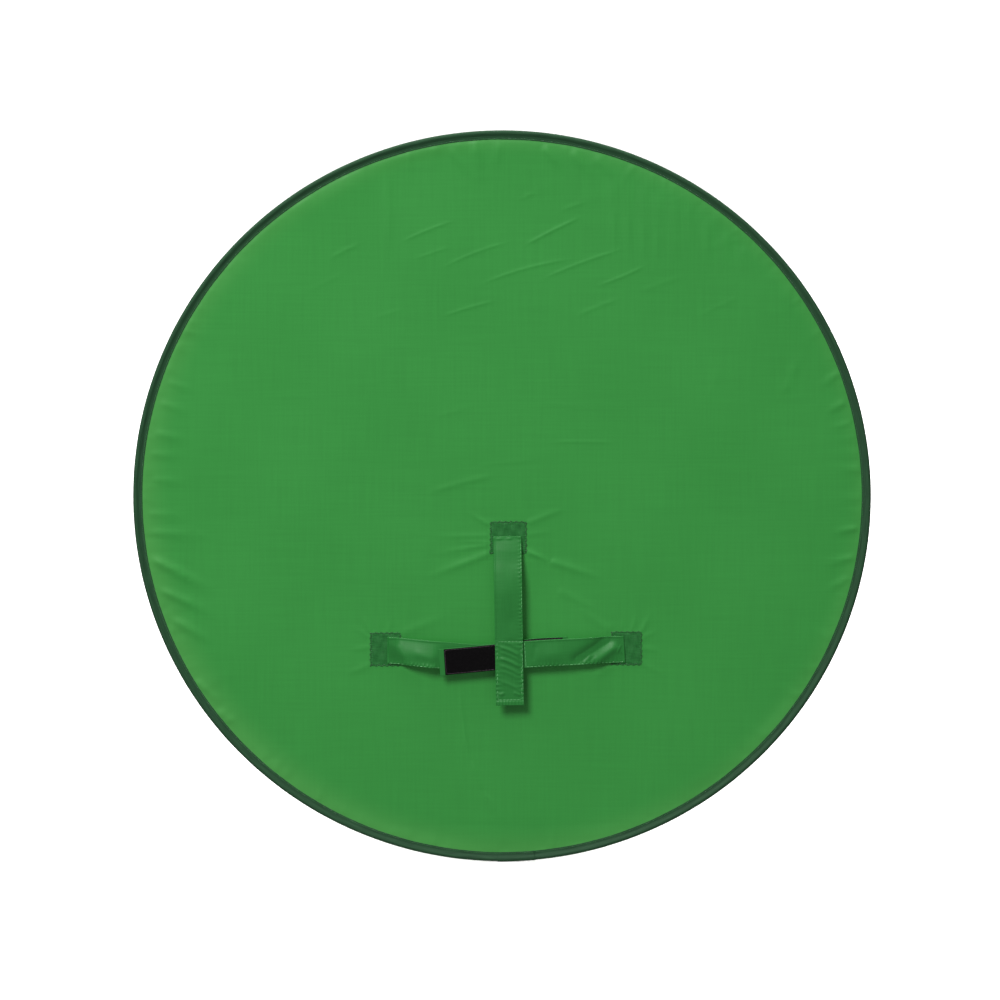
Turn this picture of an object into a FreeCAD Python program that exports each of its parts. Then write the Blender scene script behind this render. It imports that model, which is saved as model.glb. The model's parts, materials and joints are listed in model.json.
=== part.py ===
import FreeCAD, Part
import math
import os

# A round pop-up backdrop that straps to the back of an office chair.
#
# A flat spring-steel hoop runs round the edge inside a folded tape, the edge binding, and
# stretches one layer of green cloth. Three cloth straps are sewn to patches on the front of
# the cloth. Each strap folds over at its patch and lies back over the middle, where
# hook-and-loop pads close the straps on each other: the left strap is next to the screen,
# the right strap lies over it and the vertical strap is outermost. The chair's back goes
# between the straps and the screen.
#
# Frame: X to the right along the screen, Y through it towards its back, Z up. The origin is
# on the screen's front face, midway between the two side patches.

Vector = FreeCAD.Vector

# --- Ring: millimetres and degrees, as everywhere below ---
ring_diameter = 1420.0        # over the edge binding
ring_rise = 296.0             # the ring's centre above the origin
ring_shift = -7.5             # the ring's centre along X
screen_thickness = 0.6
tape_thickness = 0.6          # the edge binding's woven tape
binding_width = 18.0          # how far the folded tape reaches in from the edge
binding_taper = 5.0           # where the tape narrows from its bead to its flat
hoop_width = 5.0              # the spring steel's width, along Y
hoop_thickness = 1.2          # its thickness, along the radius
hoop_end_gap = 1.0            # between the hoop's two ends, inside the ferrule
hoop_play = 0.05              # between the hoop and the ferrule
ferrule_wall = 0.6
ferrule_length = 40.0
ferrule_place = 98.0          # degrees clockwise from +X, seen from the front
ferrule_clearance = 0.15      # between the ferrule and the tape
seam_clearance = 0.3          # between the screen's edge and the bead
lap_length = 73.0             # the tape's end lies over its start along the bottom
lap_place = 84.8              # where the lap begins, in degrees clockwise from +X

# --- Sewing thread ---
thread_width = 0.8
thread_thickness = 0.3
rim_row_inset = 2.0           # the rim's stitch row, from the tape's inner edge
pad_row_inset = 1.5           # a pad's stitch row, from the pad's edge
edge_row_inset = 1.2          # a strap's long stitch row, from the strap's edge
row_end_inset = 3.0           # where the long row stops short of the strap's ends
row_gap = 0.5                 # between two stitch rows that meet
zigzag_width = 1.8            # the zigzag round a patch
zigzag_inset = 0.8            # from the patch's edge

# --- Hook-and-loop pads ---
pad_width = 50.0
loop_thickness = 1.5          # the soft pads that face forward
hook_thickness = 1.2          # the hooked pads that face the screen
pad_end_inset = 10.0          # from a side strap's tip to its pads
left_loop_length = 150.0
right_loop_length = 146.0
right_hook_length = 156.0
vertical_hook_length = 117.0

# --- Straps ---
web_thickness = 1.0           # two layers of cloth, turned and pressed
strap_gap = 0.5               # between one strap and the next
fold_gap = 0.3                # between a strap and its sewn tail, at the fold
harness_standoff = 14.0       # from the screen to the back of the left strap
ramp_clearance = 9.0          # from a side strap's ramp to the other strap's tip
side_strap_border = 1.0       # cloth either side of the pad
left_strap_past = 118.7       # how far the left strap's tip goes past the middle
left_strap_droop = 0.2        # degrees that the strap points below level
left_strap_sag = 13.0         # how far its middle hangs below a straight line
right_strap_past = 128.2
right_strap_droop = 3.8
right_strap_sag = -4.6        # its middle stands above the straight line
vertical_strap_border = 2.0
vertical_strap_x = 2.7
vertical_strap_past = 107.0   # how far its tip hangs below the origin
vertical_strap_lean = 0.9     # degrees that its tip leans towards +X
vertical_strap_ramp = 110.0   # from its fold to where it stands fully off the screen
vertical_hem = 9.0            # the turned-up end that stops the pad

# --- Patches ---
patch_thickness = 0.8
side_patch_distance = 232.0   # from the origin to each side patch's centre
side_patch_step = 1.0         # the left patch sits this much low and the right one high
side_patch_width = 58.0
side_patch_margin = 6.0       # above and below the strap
top_patch_x = 4.7
top_patch_z = 216.0
top_patch_height = 62.0
top_patch_margin = 7.5        # either side of the strap
fold_inset = 4.7              # a side strap's fold, inside its patch's centre
fold_drop = 1.8               # a side strap's middle line, below its patch's centre
fold_rise = 2.0               # the vertical strap's fold, above its patch's centre
tail_gap = 0.5                # between a strap's sewn tail and the zigzag beyond it

# --- Worked out from the sizes above ---
ring_centre = Vector(ring_shift, screen_thickness / 2, ring_rise)
ring_axis = Vector(0, 1, 0)
ring_radius = ring_diameter / 2
ferrule_span = hoop_width + 2 * (hoop_play + ferrule_wall)
ferrule_depth = hoop_thickness + 2 * (hoop_play + ferrule_wall)
pocket_radius = math.hypot(ferrule_span, ferrule_depth) / 2 + ferrule_clearance
bead_radius = pocket_radius + tape_thickness
hoop_radius = ring_radius - bead_radius
bead_floor = hoop_radius - ferrule_depth / 2 - ferrule_clearance
taper_end = bead_floor - binding_taper
binding_inner = ring_radius - binding_width
screen_radius = taper_end - seam_clearance

half_web = web_thickness / 2
hinge_y = -(patch_thickness + web_thickness + fold_gap + half_web)
next_strap = web_thickness + loop_thickness + strap_gap + hook_thickness
left_level = harness_standoff + half_web
right_level = left_level + next_strap
vertical_level = right_level + next_strap

side_strap_width = pad_width + 2 * side_strap_border
vertical_strap_width = pad_width + 2 * vertical_strap_border
side_fold = side_patch_distance - fold_inset
vertical_fold = top_patch_z + fold_rise
zigzag_reach = zigzag_inset + zigzag_width + tail_gap


# --- Outlines ---

def loop_of(points):
    """The face inside a closed outline, with an arc where an entry is a pair of points."""
    edges = []
    here = points[0]
    for entry in points[1:] + [points[0]]:
        if isinstance(entry, tuple):
            middle, end = entry
            edges.append(Part.Arc(here, middle, end).toShape())
        else:
            end = entry
            edges.append(Part.LineSegment(here, end).toShape())
        here = end
    return Part.Face(Part.Wire(edges))


def arc_degrees(length, radius):
    return math.degrees(length / radius)


def turned(face, start, sweep):
    """A section turned about the ring's axis, clockwise from +X as seen from the front."""
    placed = face.copy()
    placed.rotate(ring_centre, ring_axis, start)
    return placed.revolve(ring_centre, ring_axis, sweep)


def ring_section(inner, outer, front, back):
    """A rectangle to turn about the ring's axis, with Y counted from the screen's middle."""
    corners = [(inner, front), (outer, front), (outer, back), (inner, back)]
    return loop_of([ring_centre + Vector(radius, y, 0) for radius, y in corners])


# --- The ring and the screen ---

def screen_panel():
    """One layer of cloth, held at its edge between the tape's two sides."""
    start = Vector(ring_shift, 0, ring_rise)
    return Part.makeCylinder(screen_radius, screen_thickness, start, ring_axis)


def spring_hoop():
    """The flat steel strip, bent round until its ends nearly meet."""
    across, along = hoop_thickness / 2, hoop_width / 2
    section = ring_section(hoop_radius - across, hoop_radius + across, -along, along)
    gap = arc_degrees(hoop_end_gap, hoop_radius)
    return turned(section, ferrule_place + gap / 2, 360 - gap)


def hoop_ferrule():
    """The crimped steel sleeve that joins the hoop's two ends."""
    across, along = ferrule_depth / 2, ferrule_span / 2
    outside = ring_section(hoop_radius - across, hoop_radius + across, -along, along)
    across, along = across - ferrule_wall, along - ferrule_wall
    inside = ring_section(hoop_radius - across, hoop_radius + across, -along, along)
    sweep = arc_degrees(ferrule_length, hoop_radius)
    return turned(outside.cut(inside), ferrule_place - sweep / 2, sweep)


def binding_outline(grow):
    """The folded tape's outline: a round bead at the edge, narrowing to a flat.

    grow is 0 for the tape's outside and minus its thickness for its inside.
    """
    bead = bead_radius + grow
    flat = screen_thickness / 2 + tape_thickness + grow
    front = [(binding_inner, -flat), (taper_end, -flat), (bead_floor, -bead), (hoop_radius, -bead)]
    back = [(bead_floor, bead), (taper_end, flat), (binding_inner, flat)]
    nose = (ring_centre + Vector(hoop_radius + bead, 0, 0), ring_centre + Vector(hoop_radius, bead, 0))
    points = [ring_centre + Vector(radius, y, 0) for radius, y in front]
    points.append(nose)
    points += [ring_centre + Vector(radius, y, 0) for radius, y in back]
    return loop_of(points)


def edge_binding():
    """The tape folded over the hoop, with its end lapped over its start at the bottom."""
    outside = binding_outline(0)
    tape = turned(outside.cut(binding_outline(-tape_thickness)), 0, 360)
    lap_section = binding_outline(tape_thickness).cut(outside)
    lap = turned(lap_section, lap_place, arc_degrees(lap_length, ring_radius))
    return tape.fuse(lap)


def rim_stitching():
    """The row that closes the tape on the screen, on both faces, one step up along the lap."""
    inner = binding_inner + rim_row_inset
    outer = inner + thread_width
    lap = arc_degrees(lap_length, ring_radius)
    runs = []
    for base, start, sweep in ((0, lap_place + lap, 360 - lap), (tape_thickness, lap_place, lap)):
        low = screen_thickness / 2 + tape_thickness + base
        high = low + thread_thickness
        runs.append(turned(ring_section(inner, outer, -high, -low), start, sweep))
        runs.append(turned(ring_section(inner, outer, low, high), start, sweep))
    return Part.makeCompound(runs)


# --- Patches: each is its centre's x and z, its width and its height ---

side_patch_height = side_strap_width + 2 * side_patch_margin
left_place = (-side_patch_distance, -side_patch_step, side_patch_width, side_patch_height)
right_place = (side_patch_distance, side_patch_step, side_patch_width, side_patch_height)
top_place = (top_patch_x, top_patch_z, vertical_strap_width + 2 * top_patch_margin, top_patch_height)


def sewn_plate(place, inset, under, thickness):
    """A flat piece on the front of the screen, lying on what is under it."""
    x, z, width, height = place
    corner = Vector(x - width / 2 + inset, -under - thickness, z - height / 2 + inset)
    return Part.makeBox(width - 2 * inset, thickness, height - 2 * inset, corner)


def patch(place):
    return sewn_plate(place, 0, 0, patch_thickness)


def patch_stitching(place):
    """The zigzag just inside a patch's edge, as the closed band that it covers."""
    outer = sewn_plate(place, zigzag_inset, patch_thickness, thread_thickness)
    inner = sewn_plate(place, zigzag_inset + zigzag_width, patch_thickness, thread_thickness)
    return outer.cut(inner)


# --- Straps ---

class Strap:
    """A strap in its own frame: x from its fold to its tip, z across it, -Y off the screen.

    seam is +1 where the long stitch row runs along the strap's +z edge and -1 at its -z edge.
    """

    def __init__(self, root, angle, length, width, bow, ramp, level, tail, seam):
        self.root, self.angle, self.length, self.width = root, angle, length, width
        self.bow, self.ramp, self.tail, self.seam = bow, ramp, tail, seam
        self.rise = level + hinge_y
        self.ramp_radius = ((ramp / 2) ** 2 + (self.rise / 2) ** 2) / self.rise

    def profile_point(self, x, lift):
        """The point at x that is lift off the strap's middle layer, seen along its width.

        The strap leaves its fold flat, climbs through two equal arcs and runs on flat.
        """
        reach = min(x, max(self.ramp - x, 0))
        drop = self.ramp_radius - math.sqrt(self.ramp_radius ** 2 - reach ** 2)
        height = drop if x < self.ramp / 2 else self.rise - drop
        slope = math.asin(reach / self.ramp_radius)
        return Vector(x - lift * math.sin(slope), -height - lift * math.cos(slope), 0)

    def profile_path(self, start, end, lift):
        """One face seen along the strap's width, from start to end."""
        bends = [x for x in (self.ramp / 2, self.ramp) if min(start, end) < x < max(start, end)]
        stops = [start] + sorted(bends, reverse=start > end) + [end]
        path = [self.profile_point(start, lift)]
        for here, there in zip(stops, stops[1:]):
            corner = self.profile_point(there, lift)
            middle = self.profile_point((here + there) / 2, lift)
            path.append((middle, corner) if max(here, there) <= self.ramp else corner)
        return path

    def middle_line(self, x):
        """How far across the strap's middle line has moved at x."""
        half, sag = self.length / 2, abs(self.bow)
        if not sag:
            return 0.0
        radius = (half ** 2 + sag ** 2) / (2 * sag)
        return math.copysign(1.0, self.bow) * (math.sqrt(radius ** 2 - (x - half) ** 2) - radius + sag)

    def plan_path(self, start, end, across):
        """One long edge in plan: an arc, or a line on a straight strap."""
        places = (start, (start + end) / 2, end)
        first, middle, last = (Vector(x, 0, self.middle_line(x) + across) for x in places)
        return [first, (middle, last)] if self.bow else [first, last]

    def ribbon(self, start, end, low, high, under, over):
        """The piece of the strap between two ends, two edges and two lifts."""
        side_view = loop_of(self.profile_path(start, end, under) + self.profile_path(end, start, over))
        reach = self.width + abs(self.bow)
        slab = side_view.translated(Vector(0, 0, -reach)).extrude(Vector(0, 0, 2 * reach))
        margin = web_thickness + loop_thickness + hook_thickness
        before, after = start - margin, end + margin
        plan = loop_of(self.plan_path(before, after, low) + self.plan_path(after, before, high))
        depth = self.rise + 2 * margin
        prism = plan.translated(Vector(0, margin, 0)).extrude(Vector(0, -depth, 0))
        return self.placed(slab.common(prism))

    def placed(self, shape):
        """A piece moved from the strap's own frame to its place on the screen."""
        place = Vector(self.root[0], hinge_y, self.root[1])
        moved = FreeCAD.Placement(place, FreeCAD.Rotation(ring_axis, self.angle))
        return shape.transformed(moved.toMatrix(), True)

    def web(self, hem=0.0):
        """The strap itself, with its tip turned back on itself where it has a hem."""
        edge = self.width / 2
        cloth = self.ribbon(0, self.length, -edge, edge, -half_web, half_web)
        if not hem:
            return cloth
        start = self.length - hem
        turn_up = self.ribbon(start, self.length, -edge, edge, -half_web - web_thickness, -half_web)
        return cloth.fuse(turn_up).removeSplitter()

    def sewn_tail(self):
        """The strap's end beyond the fold, flat on the patch and sewn down."""
        lowest = -half_web - fold_gap
        corner = Vector(fold_gap, -lowest, -self.width / 2)
        return self.placed(Part.makeBox(self.tail, web_thickness, self.width, corner))

    def pad(self, start, end, under, over):
        return self.ribbon(start, end, -pad_width / 2, pad_width / 2, under, over)

    def pad_row(self, start, end, lift):
        """The closed stitch row just inside a pad's edge."""
        edge = pad_width / 2 - pad_row_inset
        top = lift + thread_thickness
        near, far = start + pad_row_inset, end - pad_row_inset
        outer = self.ribbon(near, far, -edge, edge, lift, top)
        edge -= thread_width
        inner = self.ribbon(near + thread_width, far - thread_width, -edge, edge, lift, top)
        return outer.cut(inner)

    def long_row(self, end):
        """The stitch row that closes the strap's open edge, as far as end."""
        outer = self.seam * (self.width / 2 - edge_row_inset)
        inner = outer - self.seam * thread_width
        low, high = sorted((inner, outer))
        return self.ribbon(row_end_inset, end, low, high, half_web, half_web + thread_thickness)

    def cross_row(self, x):
        """A stitch row straight across the strap."""
        edge = self.width / 2 - edge_row_inset
        return self.ribbon(x, x + thread_width, -edge, edge, half_web, half_web + thread_thickness)


def side_tail(droop):
    """A side strap's tail ends where the zigzag beyond it begins, whatever the strap's tilt."""
    swing = side_strap_width / 2 * math.sin(math.radians(droop))
    return side_patch_width / 2 - fold_inset - zigzag_reach - swing - fold_gap


def span_to(past, droop):
    """A side strap's length from its fold to past the middle."""
    return (side_fold + past) / math.cos(math.radians(droop))


left = Strap(
    root=(-side_fold, -side_patch_step - fold_drop), angle=left_strap_droop,
    length=span_to(left_strap_past, left_strap_droop), width=side_strap_width,
    bow=-left_strap_sag, ramp=side_fold - right_strap_past - ramp_clearance,
    level=left_level, tail=side_tail(left_strap_droop), seam=-1)

right = Strap(
    root=(side_fold, side_patch_step - fold_drop), angle=180 - right_strap_droop,
    length=span_to(right_strap_past, right_strap_droop), width=side_strap_width,
    bow=right_strap_sag, ramp=side_fold - left_strap_past - ramp_clearance,
    level=right_level, tail=side_tail(right_strap_droop), seam=1)

lean_swing = vertical_strap_width / 2 * math.sin(math.radians(vertical_strap_lean))
vertical = Strap(
    root=(vertical_strap_x, vertical_fold), angle=90 - vertical_strap_lean,
    length=vertical_fold + vertical_strap_past, width=vertical_strap_width,
    bow=0, ramp=vertical_strap_ramp, level=vertical_level,
    tail=top_patch_height / 2 + fold_rise - zigzag_reach - lean_swing - fold_gap, seam=1)


# --- What is sewn to each strap, from its tip ---

over_loop = half_web + loop_thickness
left_pad_end = left.length - pad_end_inset
left_loop_start = left_pad_end - left_loop_length
right_pad_end = right.length - pad_end_inset
right_loop_start = right_pad_end - right_loop_length
right_hook_start = right_pad_end - right_hook_length
vertical_pad_end = vertical.length - vertical_hem
vertical_hook_start = vertical_pad_end - vertical_hook_length


def left_strap_stitching():
    return Part.makeCompound([
        left.long_row(left_loop_start - row_gap),
        left.pad_row(left_loop_start, left_pad_end, over_loop)])


def right_strap_stitching():
    """The cross row holds the end of the hook pad behind the strap."""
    return Part.makeCompound([
        right.long_row(right_hook_start - row_gap),
        right.cross_row(right_hook_start),
        right.pad_row(right_loop_start, right_pad_end, over_loop)])


def vertical_strap_stitching():
    return Part.makeCompound([
        vertical.long_row(vertical.length - row_end_inset),
        vertical.pad_row(vertical_hook_start, vertical_pad_end, half_web)])


under_web = -half_web - hook_thickness

parts = {
    "screen_panel": screen_panel(),
    "spring_hoop": spring_hoop(),
    "hoop_ferrule": hoop_ferrule(),
    "edge_binding": edge_binding(),
    "rim_stitching": rim_stitching(),
    "left_patch": patch(left_place),
    "right_patch": patch(right_place),
    "top_patch": patch(top_place),
    "left_patch_stitching": patch_stitching(left_place),
    "right_patch_stitching": patch_stitching(right_place),
    "top_patch_stitching": patch_stitching(top_place),
    "left_strap_tail": left.sewn_tail(),
    "right_strap_tail": right.sewn_tail(),
    "vertical_strap_tail": vertical.sewn_tail(),
    "left_strap_web": left.web(),
    "left_strap_loop_pad": left.pad(left_loop_start, left_pad_end, half_web, over_loop),
    "left_strap_stitching": left_strap_stitching(),
    "right_strap_web": right.web(),
    "right_strap_loop_pad": right.pad(right_loop_start, right_pad_end, half_web, over_loop),
    "right_strap_hook_pad": right.pad(right_hook_start, right_pad_end, under_web, -half_web),
    "right_strap_stitching": right_strap_stitching(),
    "vertical_strap_web": vertical.web(vertical_hem),
    "vertical_strap_hook_pad": vertical.pad(vertical_hook_start, vertical_pad_end, under_web, -half_web),
    "vertical_strap_stitching": vertical_strap_stitching(),
}

os.makedirs("parts", exist_ok=True)
for name, shape in parts.items():
    shape.exportStep(f"parts/{name}.step")
    size = shape.BoundBox
    print(f"{name}: {size.XLength:.1f} x {size.YLength:.1f} x {size.ZLength:.1f} mm, "
          f"{len(shape.Solids)} solid(s), {shape.Volume / 1000:.2f} cm3, valid {shape.isValid()}")
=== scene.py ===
# %% [markdown]
# # A round pop-up backdrop that straps to a chair
# The object is a disc of green cloth, stretched by a spring-steel hoop that runs inside a
# folded tape round its edge. Three cloth straps are sewn to patches on its front and close on
# each other with hook-and-loop pads. FreeCAD made the sizes, and this lesson makes the looks.
# Every piece is built in the same frame, in metres, so a piece goes where the design says.
# The first step loads that design.

# %% Load the imported design
import json
import math

import bpy
import numpy as np
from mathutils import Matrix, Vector
from mathutils.geometry import delaunay_2d_cdt
from mathutils.kdtree import KDTree


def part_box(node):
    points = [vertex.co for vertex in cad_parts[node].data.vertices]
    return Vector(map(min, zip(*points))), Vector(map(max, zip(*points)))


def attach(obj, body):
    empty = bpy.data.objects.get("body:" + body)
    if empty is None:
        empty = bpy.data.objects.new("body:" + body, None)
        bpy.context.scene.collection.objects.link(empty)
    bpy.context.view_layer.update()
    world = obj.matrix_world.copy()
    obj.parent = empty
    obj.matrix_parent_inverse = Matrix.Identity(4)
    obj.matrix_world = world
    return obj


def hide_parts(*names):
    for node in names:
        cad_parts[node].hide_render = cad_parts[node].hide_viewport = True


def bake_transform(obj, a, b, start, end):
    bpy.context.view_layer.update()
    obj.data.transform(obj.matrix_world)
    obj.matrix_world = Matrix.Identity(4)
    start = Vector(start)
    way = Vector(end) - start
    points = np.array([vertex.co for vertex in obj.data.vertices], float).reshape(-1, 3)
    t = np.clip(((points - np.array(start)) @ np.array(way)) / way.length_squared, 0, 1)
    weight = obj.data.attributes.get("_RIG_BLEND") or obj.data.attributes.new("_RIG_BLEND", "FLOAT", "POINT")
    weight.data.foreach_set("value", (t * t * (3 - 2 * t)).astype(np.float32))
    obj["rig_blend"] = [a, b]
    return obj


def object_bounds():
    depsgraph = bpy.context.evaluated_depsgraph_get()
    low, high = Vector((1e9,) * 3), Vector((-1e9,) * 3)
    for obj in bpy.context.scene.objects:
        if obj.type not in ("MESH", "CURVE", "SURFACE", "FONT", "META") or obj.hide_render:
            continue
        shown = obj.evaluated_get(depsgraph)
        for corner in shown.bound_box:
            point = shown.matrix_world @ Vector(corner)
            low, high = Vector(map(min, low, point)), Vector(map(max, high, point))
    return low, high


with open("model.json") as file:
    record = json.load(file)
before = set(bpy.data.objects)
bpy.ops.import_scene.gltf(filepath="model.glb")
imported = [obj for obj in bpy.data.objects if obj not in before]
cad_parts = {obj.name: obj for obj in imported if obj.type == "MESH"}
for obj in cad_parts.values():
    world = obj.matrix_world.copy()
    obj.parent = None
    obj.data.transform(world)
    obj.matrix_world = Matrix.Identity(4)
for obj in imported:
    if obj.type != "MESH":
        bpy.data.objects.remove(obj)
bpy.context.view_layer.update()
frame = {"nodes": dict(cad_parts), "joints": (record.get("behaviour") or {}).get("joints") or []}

# %% [markdown]
# ## Measuring the ring
# Cloth work is easier to think of in millimetres, as on a sewing table, so the arrays below
# hold millimetres and only the finished meshes are in metres. The ring's centre and radii are
# read from the design's own nodes, not typed in again, so that the looks always fit it.

# %% The ring's centre and radii
MM = 0.001


def node_points(node):
    """A design node's corners, in millimetres."""
    vertices = frame["nodes"][node].data.vertices
    flat = np.empty(len(vertices) * 3)
    vertices.foreach_get("co", flat)
    return flat.reshape(-1, 3) / MM


tape_low, tape_high = (np.array(corner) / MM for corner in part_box("edge_binding"))
ring_radius = (tape_high[0] - tape_low[0]) / 2
ring_x = (tape_high[0] + tape_low[0]) / 2
ring_z = tape_high[2] - ring_radius


def radii(node):
    """The least and greatest distance of a node's corners from the ring's axis."""
    points = node_points(node)
    distance = np.hypot(points[:, 0] - ring_x, points[:, 2] - ring_z)
    return distance.min(), distance.max()


cloth_y = node_points("screen_panel")[:, 1].mean()
cloth_radius = radii("screen_panel")[1]
tape_inner = radii("edge_binding")[0]
row_radius = sum(radii("rim_stitching")) / 2
hoop_radius = sum(radii("spring_hoop")) / 2
bead_radius = ring_radius - hoop_radius
print(f"ring centre x {ring_x:.1f}, z {ring_z:.1f}, radius {ring_radius:.1f} mm")
print(f"cloth radius {cloth_radius:.1f}, tape from {tape_inner:.1f}, bead {bead_radius:.2f} mm")

# %% [markdown]
# ## Two small helpers for node trees
# Colours are picked as sRGB hex values, the way a paint chart gives them, but a shader works
# in linear light, so one function converts them. The other adds a node to any tree, sets it
# and links it, and every material and every Geometry Nodes tree below is made with it.

# %% Colour and node helpers


def linear(hex_colour):
    """An sRGB hex colour as linear red, green, blue and alpha."""
    shares = [int(hex_colour[i:i + 2], 16) / 255 for i in (1, 3, 5)]
    return [s / 12.92 if s <= 0.04045 else ((s + 0.055) / 1.055) ** 2.4 for s in shares] + [1.0]


def add(tree, kind, inputs=None, **settings):
    """Adds a node. inputs gives sockets, by name or number, a value or another node's output."""
    node = tree.nodes.new(kind)
    for name, value in settings.items():
        setattr(node, name, value)
    for socket, value in (inputs or {}).items():
        if isinstance(value, bpy.types.NodeSocket):
            tree.links.new(value, node.inputs[socket])
        else:
            node.inputs[socket].default_value = value
    return node


def new_material(name, finish):
    """A material with its node tree and its shader, whose plain sockets finish sets."""
    material = bpy.data.materials.new(name)
    material.use_nodes = True
    shader = material.node_tree.nodes["Principled BSDF"]
    for socket, value in finish.items():
        shader.inputs[socket].default_value = value
    return material, material.node_tree, shader


print("green of the cloth, linear:", [round(c, 3) for c in linear("#3E8E46")[:3]])

# %% [markdown]
# ## The cloths
# The screen is polyester taffeta: a plain weave of fine filament yarn, dyed green, with a soft
# sheen because the filaments are smooth. Real threads are a third of a millimetre apart, too
# fine to see from across a room, but the yarn's slight unevenness shows as faint streaks along
# both thread directions. So the pattern is noise drawn out along each direction, read from the
# UV map, which holds every cloth piece's own flat size in metres and so follows its folds.

# %% A woven cloth material


def woven_cloth(name, light, dark, across_mm, along_mm, relief_mm, finish):
    """Dyed plain weave. Streaks across_mm wide and along_mm long run both ways."""
    material, tree, shader = new_material(name, finish)
    flat = add(tree, "ShaderNodeTexCoord").outputs["UV"]
    fine, drawn = 1 / (across_mm * MM), 1 / (along_mm * MM)
    streaks = []
    for scale in ((fine, drawn, 1), (drawn, fine, 1)):
        thread = add(tree, "ShaderNodeMapping", {"Vector": flat, "Scale": scale})
        noise = add(tree, "ShaderNodeTexNoise", {"Vector": thread.outputs[0], "Scale": 1.0, "Detail": 3.0})
        streaks.append(noise.outputs[0])
    both = add(tree, "ShaderNodeMath", {0: streaks[0], 1: streaks[1]}, operation="ADD")
    share = add(tree, "ShaderNodeMapRange", {0: both.outputs[0], 1: 0.5, 2: 1.5})
    colour = add(tree, "ShaderNodeMix", {0: share.outputs[0], 6: linear(dark), 7: linear(light)},
                 data_type="RGBA")
    bump = add(tree, "ShaderNodeBump",
               {"Height": both.outputs[0], "Distance": relief_mm * MM, "Strength": 1.0})
    tree.links.new(colour.outputs[2], shader.inputs["Base Color"])
    tree.links.new(bump.outputs[0], shader.inputs["Normal"])
    return material, tree, shader, colour


# %% [markdown]
# Near the rim the screen's taffeta is painted a little paler and yellower: painted light, standing in for the
# light that comes through from behind where the cloth is one layer stretched over the tape's edge. The
# patches and straps are the same cloth doubled, so they pass no light and look deeper.

# %% Screen, patch and strap cloth
screen_cloth, tree, shader, base = woven_cloth(
    "polyester_taffeta", "#308F39", "#2A8533", across_mm=4, along_mm=120, relief_mm=0.02,
    finish={"Roughness": 0.5, "Specular IOR Level": 0.4})
PALE_FROM, PALE_TO = 0.645, 0.725    # metres from the tint's centre
PALE_SHARE = 0.7
PALE_SHIFT = (0.012, 0.010)          # its centre is up and right of the ring's, so the lower left is palest
centre = (-ring_x * MM - PALE_SHIFT[0], -ring_z * MM - PALE_SHIFT[1], 0)
flat = add(tree, "ShaderNodeTexCoord").outputs["UV"]
from_centre = add(tree, "ShaderNodeVectorMath", {0: flat, 1: centre}, operation="ADD")
distance = add(tree, "ShaderNodeVectorMath", {0: from_centre.outputs[0]}, operation="LENGTH")
# painted light: the share of the paler colour rises towards the rim and is strongest at the lower left
painted_light_share = add(tree, "ShaderNodeMapRange",
               {0: distance.outputs["Value"], 1: PALE_FROM, 2: PALE_TO, 3: 0.0, 4: PALE_SHARE},
               interpolation_type="SMOOTHSTEP")
rim_painted_light = add(tree, "ShaderNodeMix",
               {0: painted_light_share.outputs[0], 6: base.outputs[2], 7: linear("#4A9644")}, data_type="RGBA")
tree.links.new(rim_painted_light.outputs[2], shader.inputs["Base Color"])

patch_cloth = woven_cloth(
    "doubled_taffeta_patch", "#267533", "#135421", across_mm=3, along_mm=14, relief_mm=0.15,
    finish={"Roughness": 0.6, "Specular IOR Level": 0.25})[0]
strap_cloth = woven_cloth(
    "doubled_taffeta_strap", "#2A7A36", "#206B2B", across_mm=1.5, along_mm=50, relief_mm=0.08,
    finish={"Roughness": 0.45, "Specular IOR Level": 0.22})[0]
print("cloths:", screen_cloth.name, patch_cloth.name, strap_cloth.name)

# %% [markdown]
# ## The edge tape
# The tape is grosgrain, a ribbed polyester ribbon in a much darker green. Its ribs cross it
# every 0.5 mm or so. They are drawn three times as wide, which is as fine as they can be and
# still catch the light. It is matt, because the ribs break up every reflection.

# %% The tape, the thread and the pads' materials
RIB_MM = 1.5
tape_cloth, tree, shader = new_material("grosgrain_tape", {"Roughness": 0.7, "Specular IOR Level": 0.3})
flat = add(tree, "ShaderNodeTexCoord").outputs["UV"]
rib_scale = 1 / (RIB_MM * MM) / math.tau * 2
ribs = add(tree, "ShaderNodeTexWave",
           {"Vector": flat, "Scale": rib_scale, "Distortion": 1.0, "Detail Scale": 0.02}, bands_direction="X")
long_fibre = add(tree, "ShaderNodeMapping", {"Vector": flat, "Scale": (25, 700, 1)})
fade = add(tree, "ShaderNodeTexNoise", {"Vector": long_fibre.outputs[0], "Scale": 1.0, "Detail": 2.0})
worn = add(tree, "ShaderNodeMapRange", {0: fade.outputs[0], 1: 0.35, 2: 0.7})
colour = add(tree, "ShaderNodeMix",
             {0: worn.outputs[0], 6: linear("#143A20"), 7: linear("#234D2E")}, data_type="RGBA")
bump = add(tree, "ShaderNodeBump", {"Height": ribs.outputs["Fac"], "Distance": 0.15 * MM, "Strength": 0.6})
tree.links.new(colour.outputs[2], shader.inputs["Base Color"])
tree.links.new(bump.outputs[0], shader.inputs["Normal"])
print("tape:", tape_cloth.name, "ribs", RIB_MM, "mm apart")
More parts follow.
